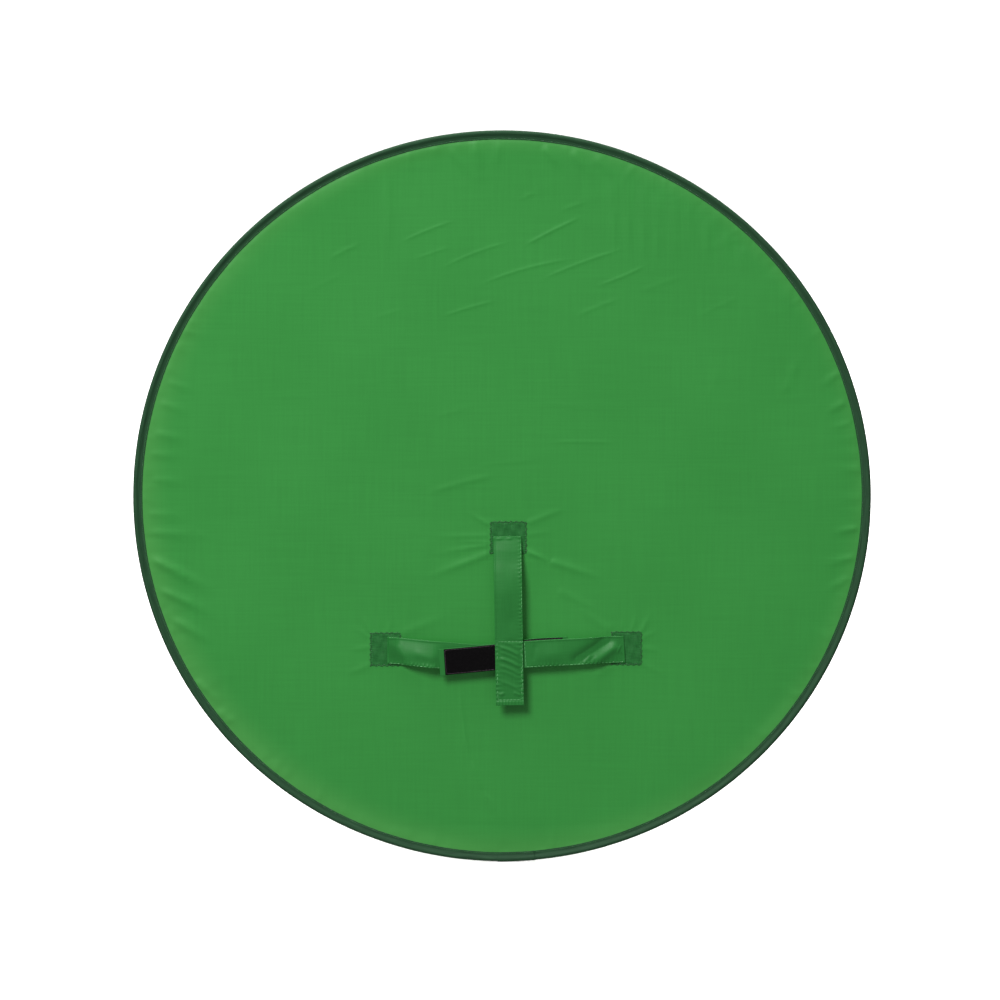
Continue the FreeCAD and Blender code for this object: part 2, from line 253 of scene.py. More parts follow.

# %% [markdown]
# Sewing thread is twisted polyester and slightly glossy. On the straps it is painted paler than the cloth, a
# painted highlight for the light on the seam's puckers. On the tape it is paler than the tape but painted a
# shaded green, painted shade for the strip of screen in shadow at the tape's inner edge. On the patches it is
# painted deeper than the cloth, painted shade for the shadows in the zigzag. The hook-and-loop pads are black
# nylon: the loop side is a matt brushed pile, the hook side is stiff moulded monofilament that glints. Their
# real pile is made further down, so these only need the right black and gloss.


# %% Plain fibres
def fibre(name, light, dark, grain_mm, finish):
    """Thread or pile whose colour varies from place to place, over grain_mm."""
    material, tree, shader = new_material(name, finish)
    place = add(tree, "ShaderNodeTexCoord").outputs["Object"]
    noise = add(tree, "ShaderNodeTexNoise", {"Vector": place, "Scale": 1 / (grain_mm * MM), "Detail": 2.0})
    share = add(tree, "ShaderNodeMapRange", {0: noise.outputs[0], 1: 0.3, 2: 0.7})
    colour = add(tree, "ShaderNodeMix", {0: share.outputs[0], 6: linear(dark), 7: linear(light)},
                 data_type="RGBA")
    tree.links.new(colour.outputs[2], shader.inputs["Base Color"])
    return material


# painted highlight: the strap thread is painted paler for the light on the seam's puckers
strap_thread_painted_highlight = fibre("polyester_thread_painted_highlight", "#74BE7D", "#3A8B46", 3, {"Roughness": 0.45})
# painted shade: the patch thread is painted deep for the shadows in the zigzag
patch_thread_painted_shade = fibre("polyester_thread_painted_shade", "#2A6A36", "#0C3314", 5, {"Roughness": 0.5})
# painted shade: the rim thread is painted the green of the screen in shadow at the tape's inner edge
rim_thread_painted_shade = fibre("rim_polyester_thread_painted_shade", "#2F7A3D", "#1C5729", 8, {"Roughness": 0.5})
loop_nylon = fibre("brushed_loop_nylon", "#0B090B", "#040304", 4,
                   {"Roughness": 0.95, "Specular IOR Level": 0.12})
hook_nylon = fibre("moulded_hook_nylon", "#17161A", "#0A0A0C", 3, {"Roughness": 0.4})
pad_thread = fibre("black_polyester_thread", "#4A3844", "#2A1E27", 3, {"Roughness": 0.6})

# %% [markdown]
# ## Steel
# The hoop is blued spring steel, rolled and tempered, so its blue-grey oxide runs in bands
# along the strip. The ferrule that joins its ends is plain zinc-plated sleeve. Both are inside
# the tape. They keep the design's own shapes and only get a finish here.


# %% Steel finishes for the hoop and its ferrule
def rolled_steel(name, light, dark, stretch, roughness):
    """Bare metal whose colour and faint relief run in bands, finest where stretch is largest."""
    material, tree, shader = new_material(name, {"Metallic": 1.0, "Roughness": roughness})
    place = add(tree, "ShaderNodeTexCoord").outputs["Object"]
    drawn = add(tree, "ShaderNodeMapping", {"Vector": place, "Scale": stretch})
    noise = add(tree, "ShaderNodeTexNoise", {"Vector": drawn.outputs[0], "Scale": 1.0, "Detail": 4.0})
    colour = add(tree, "ShaderNodeMix", {0: noise.outputs[0], 6: linear(dark), 7: linear(light)},
                 data_type="RGBA")
    bump = add(tree, "ShaderNodeBump", {"Height": noise.outputs[0], "Distance": 0.02 * MM, "Strength": 0.5})
    tree.links.new(colour.outputs[2], shader.inputs["Base Color"])
    tree.links.new(bump.outputs[0], shader.inputs["Normal"])
    return material


steel_of = {
    "spring_hoop": rolled_steel("blued_spring_steel", "#6E7580", "#3C4450", (20, 900, 20), 0.32),
    "hoop_ferrule": rolled_steel("zinc_plated_steel", "#B9BCBE", "#8F9396", (300, 300, 300), 0.38)}
for node, steel in steel_of.items():
    frame["nodes"][node].data.materials.clear()
    frame["nodes"][node].data.materials.append(steel)
    print(node, "is", steel.name)

# %% [markdown]
# ## From arrays to meshes
# Every cloth piece ends the same way: an array of points in millimetres and a list of faces
# become one smooth mesh with a UV map of the piece's flat size. A piece with a thickness is a
# slab: two faces over one grid of stations that meet at its border. Their distance apart
# grows from nothing at the border like a quarter circle, which gives a turned or cut edge its
# round and leaves no seam open.


# %% Mesh helpers
def mesh_of(name, points, faces, flat, material):
    """One smooth mesh object, from millimetres. flat is each corner's place on the uncut cloth."""
    mesh = bpy.data.meshes.new(name)
    mesh.from_pydata((np.asarray(points) * MM).tolist(), [], faces)
    mesh.polygons.foreach_set("use_smooth", np.ones(len(mesh.polygons), bool))
    corners = np.empty(len(mesh.loops), int)
    mesh.loops.foreach_get("vertex_index", corners)
    mesh.uv_layers.new(name="UVMap").data.foreach_set("uv", (np.asarray(flat)[corners] * MM).ravel())
    mesh.materials.append(material)
    piece = bpy.data.objects.new(name, mesh)
    bpy.context.scene.collection.objects.link(piece)
    return piece


def quads(index):
    """The quads between neighbours in a grid of corner numbers."""
    around = (index[:-1, :-1], index[:-1, 1:], index[1:, 1:], index[1:, :-1])
    return np.stack([corner.ravel() for corner in around], axis=1)


def stations(start, end, step, edge):
    """Places from start to end, step apart, and closer together in the last few mm of each end."""
    close = edge * np.array([0, 0.08, 0.3, 0.65, 1.1, 2.0])
    inner = np.linspace(start + close[-1], end - close[-1], max(2, round((end - start) / step)))
    return np.concatenate([start + close[:-1], inner, end - close[:-1][::-1]])


def slab(name, us, vs, lifts, place, edge, material):
    """A closed piece of cloth. lifts gives its back and front at (u, v), and place puts it."""
    u, v = np.meshgrid(us, vs, indexing="ij")
    back, front = lifts(u, v)
    inset = np.minimum.reduce([u - us[0], us[-1] - u, v - vs[0], vs[-1] - v])
    swell = np.sqrt(1 - (1 - np.clip(inset / edge, 0, 1)) ** 2)
    middle, half = (front + back) / 2, (front - back) / 2 * swell
    over = np.arange(u.size).reshape(u.shape)
    under = over.copy()
    inner = under[1:-1, 1:-1]
    under[1:-1, 1:-1] = u.size + np.arange(inner.size).reshape(inner.shape)
    inside = (slice(1, -1), slice(1, -1))
    top = place(u, v, middle + half).reshape(-1, 3)
    bottom = place(u, v, middle - half)[inside].reshape(-1, 3)
    flat = np.stack([u, v], axis=-1)
    flats = np.concatenate([flat.reshape(-1, 2), flat[inside].reshape(-1, 2)])
    faces = np.concatenate([quads(over), quads(under)[:, ::-1]])
    points = np.concatenate([top, bottom])
    return mesh_of(name, points, faces.tolist(), flats, material)


def ride(piece, body, slot, *nodes):
    """A finished piece moves with its body and stands for its design nodes. slot is not used."""
    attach(piece, body)
    if nodes:
        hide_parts(*nodes)
    piece.data.calc_loop_triangles()
    print(f"{piece.name}: {len(piece.data.loop_triangles)} triangles, rides on {body}")


# %% [markdown]
# ## Creases
# Stretched cloth is never quite flat. This one was packed away in three coils, so it has
# fine diagonal creases, puckers that fan in from the sewn rim, and rays where the straps pull
# on their patches. A cloth simulation would give creases, but not these ones. So each is one
# ridge with a place, a height and a width, and the cloth's lift is their sum.


# %% One crease
def smooth(share):
    share = np.clip(share, 0, 1)
    return share * share * (3 - 2 * share)


def ridge(x, z, start, end, height, width, bow=0.0, fades=(0.3, 0.3)):
    """How far a crease from start to end lifts each point. fades are the shares that it dies over."""
    dx, dz = end[0] - start[0], end[1] - start[1]
    length = math.hypot(dx, dz)
    along = ((x - start[0]) * dx + (z - start[1]) * dz) / length ** 2
    off = ((z - start[1]) * dx - (x - start[0]) * dz) / length - 4 * bow * along * (1 - along)
    ends = smooth(along / fades[0]) * smooth((1 - along) / fades[1])
    return height * ends * np.exp(-(off / width) ** 2)


# %% [markdown]
# The diagonal creases lie across the upper half, nearly parallel, because that is how the
# coils pressed the cloth. Each row here is a crease's two ends in the object's frame, then its
# height, its width and its bow, all in millimetres.

# %% Packing creases
packing_creases = [
    ((-205, 787), (-95, 832), 0.8, 4, 3), ((-178, 756), (-105, 781), 0.5, 4, 0),
    ((-128, 736), (15, 791), 0.7, 4, 6), ((-58, 703), (135, 757), 0.8, 4, 8),
    ((30, 779), (150, 840), 1.1, 4, 2), ((60, 713), (236, 779), 0.8, 4, 4),
    ((170, 703), (276, 748), 0.8, 4, -3), ((130, 643), (226, 682), 0.6, 5, 2),
    ((-128, 643), (-14, 677), 0.7, 4, 2), ((-343, 754), (-275, 788), 0.7, 5, 2),
    ((352, 765), (530, 812), 0.5, 5, 5), ((300, 860), (420, 905), 0.5, 4, 3),
    ((95, 845), (200, 880), 0.6, 5, 3), ((20, 868), (105, 905), 0.6, 5, 2),
    ((-100, 895), (-20, 925), 0.5, 5, 0), ((250, 690), (350, 725), 0.4, 6, 2),
    ((360, 640), (470, 690), 0.35, 6, 3), ((-260, 640), (-190, 662), 0.3, 5, 0),
    ((-157, 300), (-14, 338), 1.0, 7, 3), ((-70, 352), (60, 366), 0.3, 6, 2),
    ((80, 401), (215, 400), 0.5, 4, 2), ((-150, 445), (-60, 470), 0.3, 6, 2),
    ((60, 480), (190, 470), 0.25, 6, -3), ((565, 580), (530, 490), 1.4, 9, 4),
    ((-87, -60), (-66, -225), 0.9, 4, -6), ((-67, -215), (-44, -282), 1.3, 4, 0),
    ((-46, -275), (-4, -348), 1.3, 5, 4), ((-240, 490), (-205, 410), 0.3, 6, 4),
    ((410, 560), (380, 470), 0.3, 8, 4), ((-390, 690), (-300, 735), 0.3, 6, 0)]
fold_lines = (358, 257, 181, -341)
CREASE_HEIGHT, CREASE_WIDTH = 0.65, 0.8      # what the stretched cloth keeps of each crease's size
FOLD_DEPTH, FOLD_WIDTH = 0.15, 6


def creased(x, z):
    """The diagonal creases, and the shallow level lines where the cloth was folded flat."""
    lift = sum(ridge(x, z, a, b, CREASE_HEIGHT * height, CREASE_WIDTH * width, bow)
               for a, b, height, width, bow in packing_creases)
    for level in fold_lines:
        wander = 4 * np.sin(x / 210 + level)
        lift = lift - FOLD_DEPTH * np.exp(-((z - level - wander) / FOLD_WIDTH) ** 2)
    return lift


print(len(packing_creases), "creases and", len(fold_lines), "fold lines")

# %% [markdown]
# Each patch is held by four rows of zigzag, and the strap's weight pulls on it, so rays run
# out of its corners and sides. A ray starts at full height at the stitching and dies away.
# Rays are given from the patch's centre: where each starts and ends, its height and width.

# %% Rays at the patches
patch_nodes = {"left": "left_patch", "right": "right_patch", "top": "top_patch"}
patch_middle, patch_size = {}, {}
for side, node in patch_nodes.items():
    low, high = (np.array(corner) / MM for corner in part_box(node))
    patch_middle[side] = (low + high)[[0, 2]] / 2
    patch_size[side] = (high - low)[[0, 2]]
patch_rays = {
    "top": [((-36, 24), (-82, 52), 0.9, 5), ((-36, 4), (-160, 2), 0.6, 5),
            ((-36, -14), (-150, -32), 0.7, 5), ((-34, -30), (-172, -82), 1.4, 7),
            ((36, 28), (122, 62), 0.9, 6), ((34, -26), (84, -48), 1.7, 5),
            ((80, -46), (196, -84), 1.3, 7), ((36, -30), (60, -95), 0.5, 7),
            ((96, -102), (200, -156), 0.7, 8), ((-36, -8), (-110, -8), 0.5, 4),
            ((36, 6), (100, 14), 0.4, 5)],
    "left": [((-29, 32), (-46, 74), 0.9, 5), ((-29, 22), (-66, 46), 0.5, 5), ((-29, 4), (-76, -2), 0.5, 5),
             ((-29, -30), (-84, -52), 0.6, 6), ((-12, 32), (-20, 72), 0.7, 4), ((6, 32), (10, 64), 0.5, 4),
             ((29, 30), (140, 74), 0.8, 9), ((28, -32), (70, -66), 0.6, 8)],
    "right": [((29, 32), (48, 72), 0.8, 5), ((29, 20), (66, 36), 0.5, 5), ((29, 0), (76, -8), 0.5, 5),
              ((29, -30), (80, -54), 0.5, 6), ((10, 32), (18, 68), 0.6, 4), ((-8, 32), (-12, 62), 0.5, 4),
              ((-29, 32), (-110, 92), 0.9, 9), ((-28, -32), (-72, -64), 0.6, 8)]}


def pulled(x, z):
    """The rays that the straps' weight pulls out of the patches."""
    lift = 0
    for side, rays in patch_rays.items():
        mx, mz = patch_middle[side]
        for (x0, z0), (x1, z1), height, width in rays:
            start, end = (mx + x0, mz + z0), (mx + x1, mz + z1)
            lift = lift + ridge(x, z, start, end, height, width, fades=(0.06, 0.7))
    return lift


def off_patches(x, z):
    """0 under a patch, where the cloth is sewn flat, and 1 a few mm outside it."""
    free = 1.0
    for side in patch_nodes:
        reach = np.abs(np.stack([x, z], axis=-1) - patch_middle[side]) - patch_size[side] / 2
        free = free * smooth(reach.max(axis=-1) / 5)
    return free


print(sum(len(rays) for rays in patch_rays.values()), "rays")

# %% [markdown]
# The rim's puckers come from the sewing: the tape was fed a little shorter than the cloth, so
# every few stitches the spare cloth rises in a small fan. A seeded generator spreads them
# round the rim, and a few strong ones are placed where the steel's twist gathers the cloth.
# Over the top of the ring the cloth also comes forward a little to meet the tape. Under all
# of it the cloth billows by a millimetre or so, which is what makes the light roll.

# %% Puckers and slack
PUCKERS = 260
STRONG_HEIGHT = 1.4                  # times the height listed for each strong pucker
TOP_RISE = 1.9                       # mm that the cloth comes forward under the tape at the top
TOP_RISE_FADE, TOP_RISE_START = 28, 5
chance = np.random.default_rng(21)
pucker_turn = np.sort(chance.uniform(0, math.tau, PUCKERS))
pucker_lift = chance.uniform(0.15, 0.75, PUCKERS) * chance.choice([1, 1, -1], PUCKERS)
pucker_width = chance.uniform(3.5, 9, PUCKERS)
pucker_reach = chance.uniform(8, 38, PUCKERS)
pucker_skew = chance.uniform(-0.35, 0.35, PUCKERS)
strong_puckers = [
    ((-690, 180), (-555, 108), 2.2, 8), ((-672, 118), (-552, 62), 1.8, 7),
    ((-648, 62), (-560, 8), 1.6, 8), ((-694, 226), (-560, 219), 1.0, 7),
    ((-694, 262), (-600, 258), 0.8, 6), ((-686, 330), (-600, 322), 0.7, 6),
    ((-680, 420), (-606, 405), 0.8, 6), ((-688, 380), (-620, 372), 0.6, 6),
    ((-668, 480), (-600, 455), 0.8, 7), ((-655, 520), (-590, 498), 0.7, 6),
    ((-600, -60), (-545, -110), 1.0, 7), ((-560, -118), (-500, -160), 0.7, 8),
    ((655, 480), (610, 455), 1.0, 6), ((668, 440), (618, 428), 0.8, 6),
    ((680, 235), (620, 225), 1.2, 6), ((676, 180), (600, 160), 0.9, 7),
    ((664, 140), (610, 110), 0.8, 7), ((645, 540), (600, 505), 0.8, 7),
    ((-110, 975), (-60, 905), 1.0, 8), ((-60, 980), (-45, 900), 0.9, 8),
    ((70, 978), (110, 925), 1.1, 8), ((125, 970), (165, 910), 1.0, 8),
    ((170, 958), (215, 905), 0.8, 8), ((-13, 985), (-20, 925), 0.6, 8)]
strong_puckers += [((x, ring_z + math.sqrt(670 ** 2 - (x - ring_x) ** 2)), (x + 4, 730), 0.55, 8)
                   for x in (-228, 205, 232, 262, 290, 322, 350, 385, 420, 455)]


def puckered(x, z):
    """The puckers that fan in from the tape, and the cloth's rise under it at the top."""
    turn, inward = np.arctan2(z - ring_z, x - ring_x), tape_inner - np.hypot(x - ring_x, z - ring_z)
    lift = np.zeros_like(x)
    near = inward < 150
    depth = np.clip(inward[near], 0, None)
    puckers = zip(pucker_turn, pucker_lift, pucker_width, pucker_reach, pucker_skew)
    for angle, height, width, reach, skew in puckers:
        swing = (turn[near] - angle + math.pi) % math.tau - math.pi
        off = swing * (ring_radius - depth) - skew * depth
        spread = width * (1 + depth / 60)
        lift[near] += height * np.exp(-(off / spread) ** 2 - depth / reach) * (1 - np.exp(-depth / 4))
    upper = np.clip(np.sin(turn[near]), 0, 1)
    lift[near] += TOP_RISE * upper * np.exp(-depth / TOP_RISE_FADE) * (1 - np.exp(-depth / TOP_RISE_START))
    return lift + sum(ridge(x, z, a, b, STRONG_HEIGHT * height, width, fades=(0.2, 0.6))
                      for a, b, height, width in strong_puckers)


def slack(x, z):
    """Slow waves across the whole disc: each one's two wavelengths, start and height."""
    x, z = x - ring_x, z - ring_z
    waves = ((520, 340, 0.2, 0.7), (330, -620, 1.9, 0.4), (-240, 500, 4.0, 0.22), (150, 330, 2.6, 0.1))
    return sum(height * np.sin(math.tau * (x / wx + z / wz) + start) for wx, wz, start, height in waves)


def screen_lift(x, z):
    """How far the cloth stands off its middle plane, towards the front."""
    held = smooth((tape_inner - 1 - np.hypot(x - ring_x, z - ring_z)) / 25)
    loose = (creased(x, z) + slack(x, z)) * held + pulled(x, z) + puckered(x, z)
    return loose * off_patches(x, z) * (np.hypot(x - ring_x, z - ring_z) < tape_inner)


probe = np.linspace(-600, 600, 400)
print(f"lift along the middle: {screen_lift(probe, probe * 0 + ring_z).min():.2f} to "
      f"{screen_lift(probe, probe * 0 + ring_z).max():.2f} mm")

# %% [markdown]
# ## The screen
# A regular grid fine enough for a 4 mm crease would need a million faces. So points are put
# only where the cloth bends: rings of them near the rim that open out inwards, a few rows
# along each crease, and a coarse lattice everywhere else. A Delaunay triangulation joins them.

# %% Points for the screen
RIM_STEP, STEP_GROWTH, RING_SPACING = 2.7, 0.08, 0.87     # mm, mm per mm inwards, share of a step
RINGS_TO, LATTICE_TO, LATTICE_HALF = 590, 588, 600        # mm from the ring's centre
ROW_ROOM = 4.0                                            # mm kept clear round a crease's own points


def rim_rings():
    """Rings of points from the cloth's edge inwards, closer together near the edge."""
    rings, radius, step, turn = [], cloth_radius, RIM_STEP, 0.0
    while radius > RINGS_TO:
        count = int(math.tau * radius / step)
        angles = turn + np.arange(count) * math.tau / count
        rings.append(np.stack([ring_x + radius * np.cos(angles), ring_z + radius * np.sin(angles)], axis=1))
        radius -= step * RING_SPACING
        step = RIM_STEP + (cloth_radius - radius) * STEP_GROWTH
        turn += 0.5 * step / radius
    return np.concatenate(rings)


def crease_rows(start, end, width, bow, step=4.0):
    """Rows of points along a crease and either side of it."""
    start, end = np.array(start, float), np.array(end, float)
    length = np.hypot(*(end - start))
    share = np.linspace(0, 1, max(3, round(length / step)))
    ahead = (end - start) / length
    aside = np.array([-ahead[1], ahead[0]])
    shift = 4 * bow * share * (1 - share)
    offsets = np.array([-2.2, -1.4, -0.9, -0.45, 0, 0.45, 0.9, 1.4, 2.2]) * width
    line = start + share[:, None] * (end - start) + shift[:, None] * aside
    return (line[:, None, :] + offsets[None, :, None] * aside).reshape(-1, 2)


def lattice(step=10.0):
    """Staggered points over the middle of the disc."""
    rows = np.arange(-LATTICE_HALF, LATTICE_HALF, step * math.sqrt(3) / 2)
    columns = np.arange(-LATTICE_HALF, LATTICE_HALF, step)
    grid = [(x + step / 2 * (i % 2), z) for i, z in enumerate(rows) for x in columns]
    grid = np.array(grid)
    return grid[np.hypot(grid[:, 0], grid[:, 1]) < LATTICE_TO] + [ring_x, ring_z]


crease_list = [(a, b, width, bow) for a, b, height, width, bow in packing_creases]
crease_list += [(a, b, width, 0) for a, b, height, width in strong_puckers]
for side, rays in patch_rays.items():
    middle = patch_middle[side]
    crease_list += [(middle + a, middle + b, width, 0) for a, b, height, width in rays]
rows = np.concatenate([crease_rows(*crease) for crease in crease_list])
rows = rows[np.hypot(rows[:, 0] - ring_x, rows[:, 1] - ring_z) < RINGS_TO]


def thinned(points, keep_off, room):
    """The points that are at least room away from every point in keep_off."""
    tree = KDTree(len(keep_off))
    for i, (x, z) in enumerate(keep_off):
        tree.insert((x, z, 0), i)
    tree.balance()
    return np.array([p for p in points if tree.find((p[0], p[1], 0))[2] > room])


plan = np.concatenate([rim_rings(), rows, thinned(lattice(), rows, ROW_ROOM)])
print(len(plan), "points,", len(rows), "of them along creases")

# %% Join the points into cloth
CLOTH_MM = 0.3
corners, _, triangles, *_ = delaunay_2d_cdt([Vector(point) for point in plan], [], [], 0, 1e-5)
spots = np.array([tuple(corner) for corner in corners])
lift = screen_lift(spots[:, 0], spots[:, 1])
layers = [np.stack([spots[:, 0], cloth_y - lift + side * CLOTH_MM / 2, spots[:, 1]], axis=1)
          for side in (-1, 1)]
triangles = np.array(triangles)
(ax, az), (bx, bz), (cx, cz) = (spots[triangles[:, i]].T for i in range(3))
area = (bx - ax) * (cz - az) - (cx - ax) * (bz - az)
triangles = triangles[np.abs(area) > 1e-3]
edge = np.flatnonzero(np.hypot(spots[:, 0] - ring_x, spots[:, 1] - ring_z) > cloth_radius - 0.05)
edge = edge[np.argsort(np.arctan2(spots[edge, 1] - ring_z, spots[edge, 0] - ring_x))]
after, count = np.roll(edge, -1), len(spots)
rim = np.stack([edge, after, after + count, edge + count], axis=1)[:, ::-1]
faces = triangles.tolist() + (triangles[:, ::-1] + count).tolist() + rim.tolist()
screen = mesh_of("screen_cloth", np.concatenate(layers), faces, np.concatenate([spots, spots]), screen_cloth)
ride(screen, "screen", "screen_cloth", "screen_panel")

# %% [markdown]
# ## The edge tape
# The tape is folded over the hoop and sewn through the cloth. Its section is a closed loop
# turned round the ring: flat where it is sewn, then swelling over the steel into a round
# bead. The stitch row pulls a groove, and the tape gathers a little on the inside of the
# curve, so both vary slowly round the ring. The tape's end is lapped over its start at the
# bottom, and that lap is a second, slightly larger shell of the same section.

# %% The tape's section
TAPE_MM = 0.55
FLAT_MM = 0.9            # from the cloth's middle to the tape's outside where it is sewn
THREAD_LIFT = FLAT_MM + 0.05


def tape_half(radius):
    """Half the folded tape's thickness at a radius, up to where its bead turns over."""
    return FLAT_MM + (bead_radius - FLAT_MM) * smooth((radius - tape_inner - 5.5) / 7.5)


def tape_section(grow):
    """The section's outside from its front inner edge, round the bead, to its back inner edge."""
    flat = tape_inner + np.array([0.0, 0.35, 1.2, 2.0, 2.4, 3.2, 5.0, 6.8, 8.3, 9.8, 11.3, 12.6])
    half = tape_half(flat) + grow
    half[0] -= 0.4
    turn = np.radians(np.linspace(80, -80, 11))
    bead = bead_radius + grow
    nose = np.stack([hoop_radius + bead * np.cos(turn), -bead * np.sin(turn)], axis=1)
    front = np.stack([flat, -half], axis=1)
    return np.concatenate([front, nose, front[::-1] * [1, -1]])


def tape_wave(turn, seed):
    """A slow irregular wave round the ring, from -1 to 1."""
    draw = np.random.default_rng(seed)
    spans, shares = ((8, 20), (30, 70), (180, 320), (420, 520)), (0.25, 0.3, 0.25, 0.2)
    waves = [(draw.integers(*span), draw.uniform(0, math.tau)) for span in spans]
    return sum(np.sin(count * turn + start) * share for (count, start), share in zip(waves, shares))


def tape_ring(turns, grow):
    """The section turned round the ring, outside and inside, with its gathers and its groove."""
    outside = tape_section(grow)
    inside = tape_section(grow - TAPE_MM)[::-1]
    inside[[0, -1], 0] += 0.1
    section = np.concatenate([outside, inside])
    radius = section[:, 0] + 0 * turns[:, None]
    off = section[:, 1] + 0 * turns[:, None]
    outer = np.arange(len(section)) < len(outside)
    sewn = np.exp(-((radius - row_radius) / 0.9) ** 2)
    lip = np.exp(-((radius - tape_inner) / 3.5) ** 2)
    bead = smooth((radius - hoop_radius + 4) / 4)
    gather = tape_wave(turns, 5)[:, None]
    stretch = tape_wave(turns, 6)[:, None]
    swell = outer * (0.22 * lip * gather - 0.22 * sewn + 0.18 * bead * stretch)
    off = off + np.sign(off) * swell
    radius = radius - 0.35 * lip * tape_wave(turns, 7)[:, None] + 0.12 * outer * bead * gather
    return radius, off


# %% Turn the section round the ring
def tape_piece(turns, grow, closed):
    """Points, faces and flat places of the tape over the given turns."""
    radius, off = tape_ring(turns, grow)
    x = ring_x + radius * np.cos(turns)[:, None]
    z = ring_z - radius * np.sin(turns)[:, None]
    index = np.arange(radius.size).reshape(radius.shape)
    round_section = np.concatenate([index, index[:, :1]], axis=1)
    if closed:
        round_section = np.concatenate([round_section, round_section[:1]])
    faces = quads(round_section).tolist()
    if not closed:
        faces += [index[0][::-1].tolist(), index[-1].tolist()]
    arc = (turns * ring_radius)[:, None] + 0 * radius
    girth = np.cumsum(np.hypot(np.diff(radius[0], prepend=radius[0, 0]), np.diff(off[0], prepend=off[0, 0])))
    flat = np.stack([arc, girth + 0 * radius], axis=-1).reshape(-1, 2)
    return np.stack([x, cloth_y + off, z], axis=-1).reshape(-1, 3), faces, flat


COLUMNS = 1240
LAP_GROW = 0.6                       # mm that the lapped end stands out over the start
points, faces, flat = tape_piece(np.arange(COLUMNS) * math.tau / COLUMNS, 0.0, True)
lap_start, lap_end = math.radians(84.8), math.radians(90.7)
lap_points, lap_faces, lap_flat = tape_piece(np.linspace(lap_start, lap_end, 34), LAP_GROW, False)
faces += [[corner + len(points) for corner in face] for face in lap_faces]
points, flat = np.concatenate([points, lap_points]), np.concatenate([flat, lap_flat])
tape = mesh_of("edge_tape", points, faces, flat, tape_cloth)
ride(tape, "screen", "binding_tape", "edge_binding")

# %% [markdown]
# ## The patches
# Each patch is a turned-in square of doubled cloth under a strap's end. The zigzag pulls its
# edge down and the cloth puffs up a little between the stitches.

# %% Patches
def patch_piece(side, node):
    """One patch. Gives back its relief and its place, to sew along later."""
    (mx, mz), (width, height) = patch_middle[side], patch_size[side]
    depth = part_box(node)[1].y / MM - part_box(node)[0].y / MM
    lean = {"left": 0.4, "right": 1.7, "top": 3.1}[side]

    def lifts(u, v):
        edge = np.minimum(width / 2 - np.abs(u), height / 2 - np.abs(v))
        sewn = np.exp(-((edge - 1.8) / 1.1) ** 2)
        around = np.where(width / 2 - np.abs(u) < height / 2 - np.abs(v), v, u)
        gather = np.sin(math.tau * around / 4.1 + lean + 1.5 * np.sin(around / 7 + lean))
        quilt = 0.35 * np.sin(u / 6.5 + v / 4.2 + lean) + 0.25 * np.sin(u / 3.1 - v / 8.4 + 2 * lean)
        puff = 0.45 * gather * np.exp(-edge / 3) - 0.3 * sewn + quilt * smooth((edge - 2) / 4)
        return 0 * u, depth + puff

    def place(u, v, lift):
        return np.stack([mx + u, -lift, mz + v], axis=-1)

    us, vs = (stations(-size / 2, size / 2, 1.0, 0.5) for size in (width, height))
    piece = slab(f"{side}_patch_cloth", us, vs, lifts, place, 0.5, patch_cloth)
    ride(piece, "screen", "patch_cloth", node)
    return lifts, place


patch_shape = {side: patch_piece(side, node) for side, node in patch_nodes.items()}

# %% [markdown]
# ## Straps
# A strap is a sleeve of doubled cloth. It starts sewn down on its patch, turns back over
# itself at the fold, climbs off the screen and lies across the others. The design's joint
# gives the fold's place and direction, and the design's solids give the length, width and
# rise. In the strap's own terms u runs from the fold to the tip and v across it.
# What the straps add to the design is how the cloth really lies: crowned between its edges,
# rolled at its folded edge, gathered along its sewn edge, with a few soft folds at the root.

# %% Read a strap from the design
HALF_WEB = 0.5
joints = {joint["name"]: joint for joint in frame["joints"]}


def curve_through(places, values, at):
    """A smooth curve through a few points."""
    places, values = np.array(places, float), np.array(values, float)
    slopes = np.gradient(values, places)
    i = np.clip(np.searchsorted(places, at) - 1, 0, len(places) - 2)
    span = places[i + 1] - places[i]
    t = np.clip((at - places[i]) / span, -0.2, 1.2)
    rise = values[i + 1] - values[i]
    a, b = slopes[i] * span - rise, rise - slopes[i + 1] * span
    return values[i] + rise * t + t * (1 - t) * (a * (1 - t) + b * t)


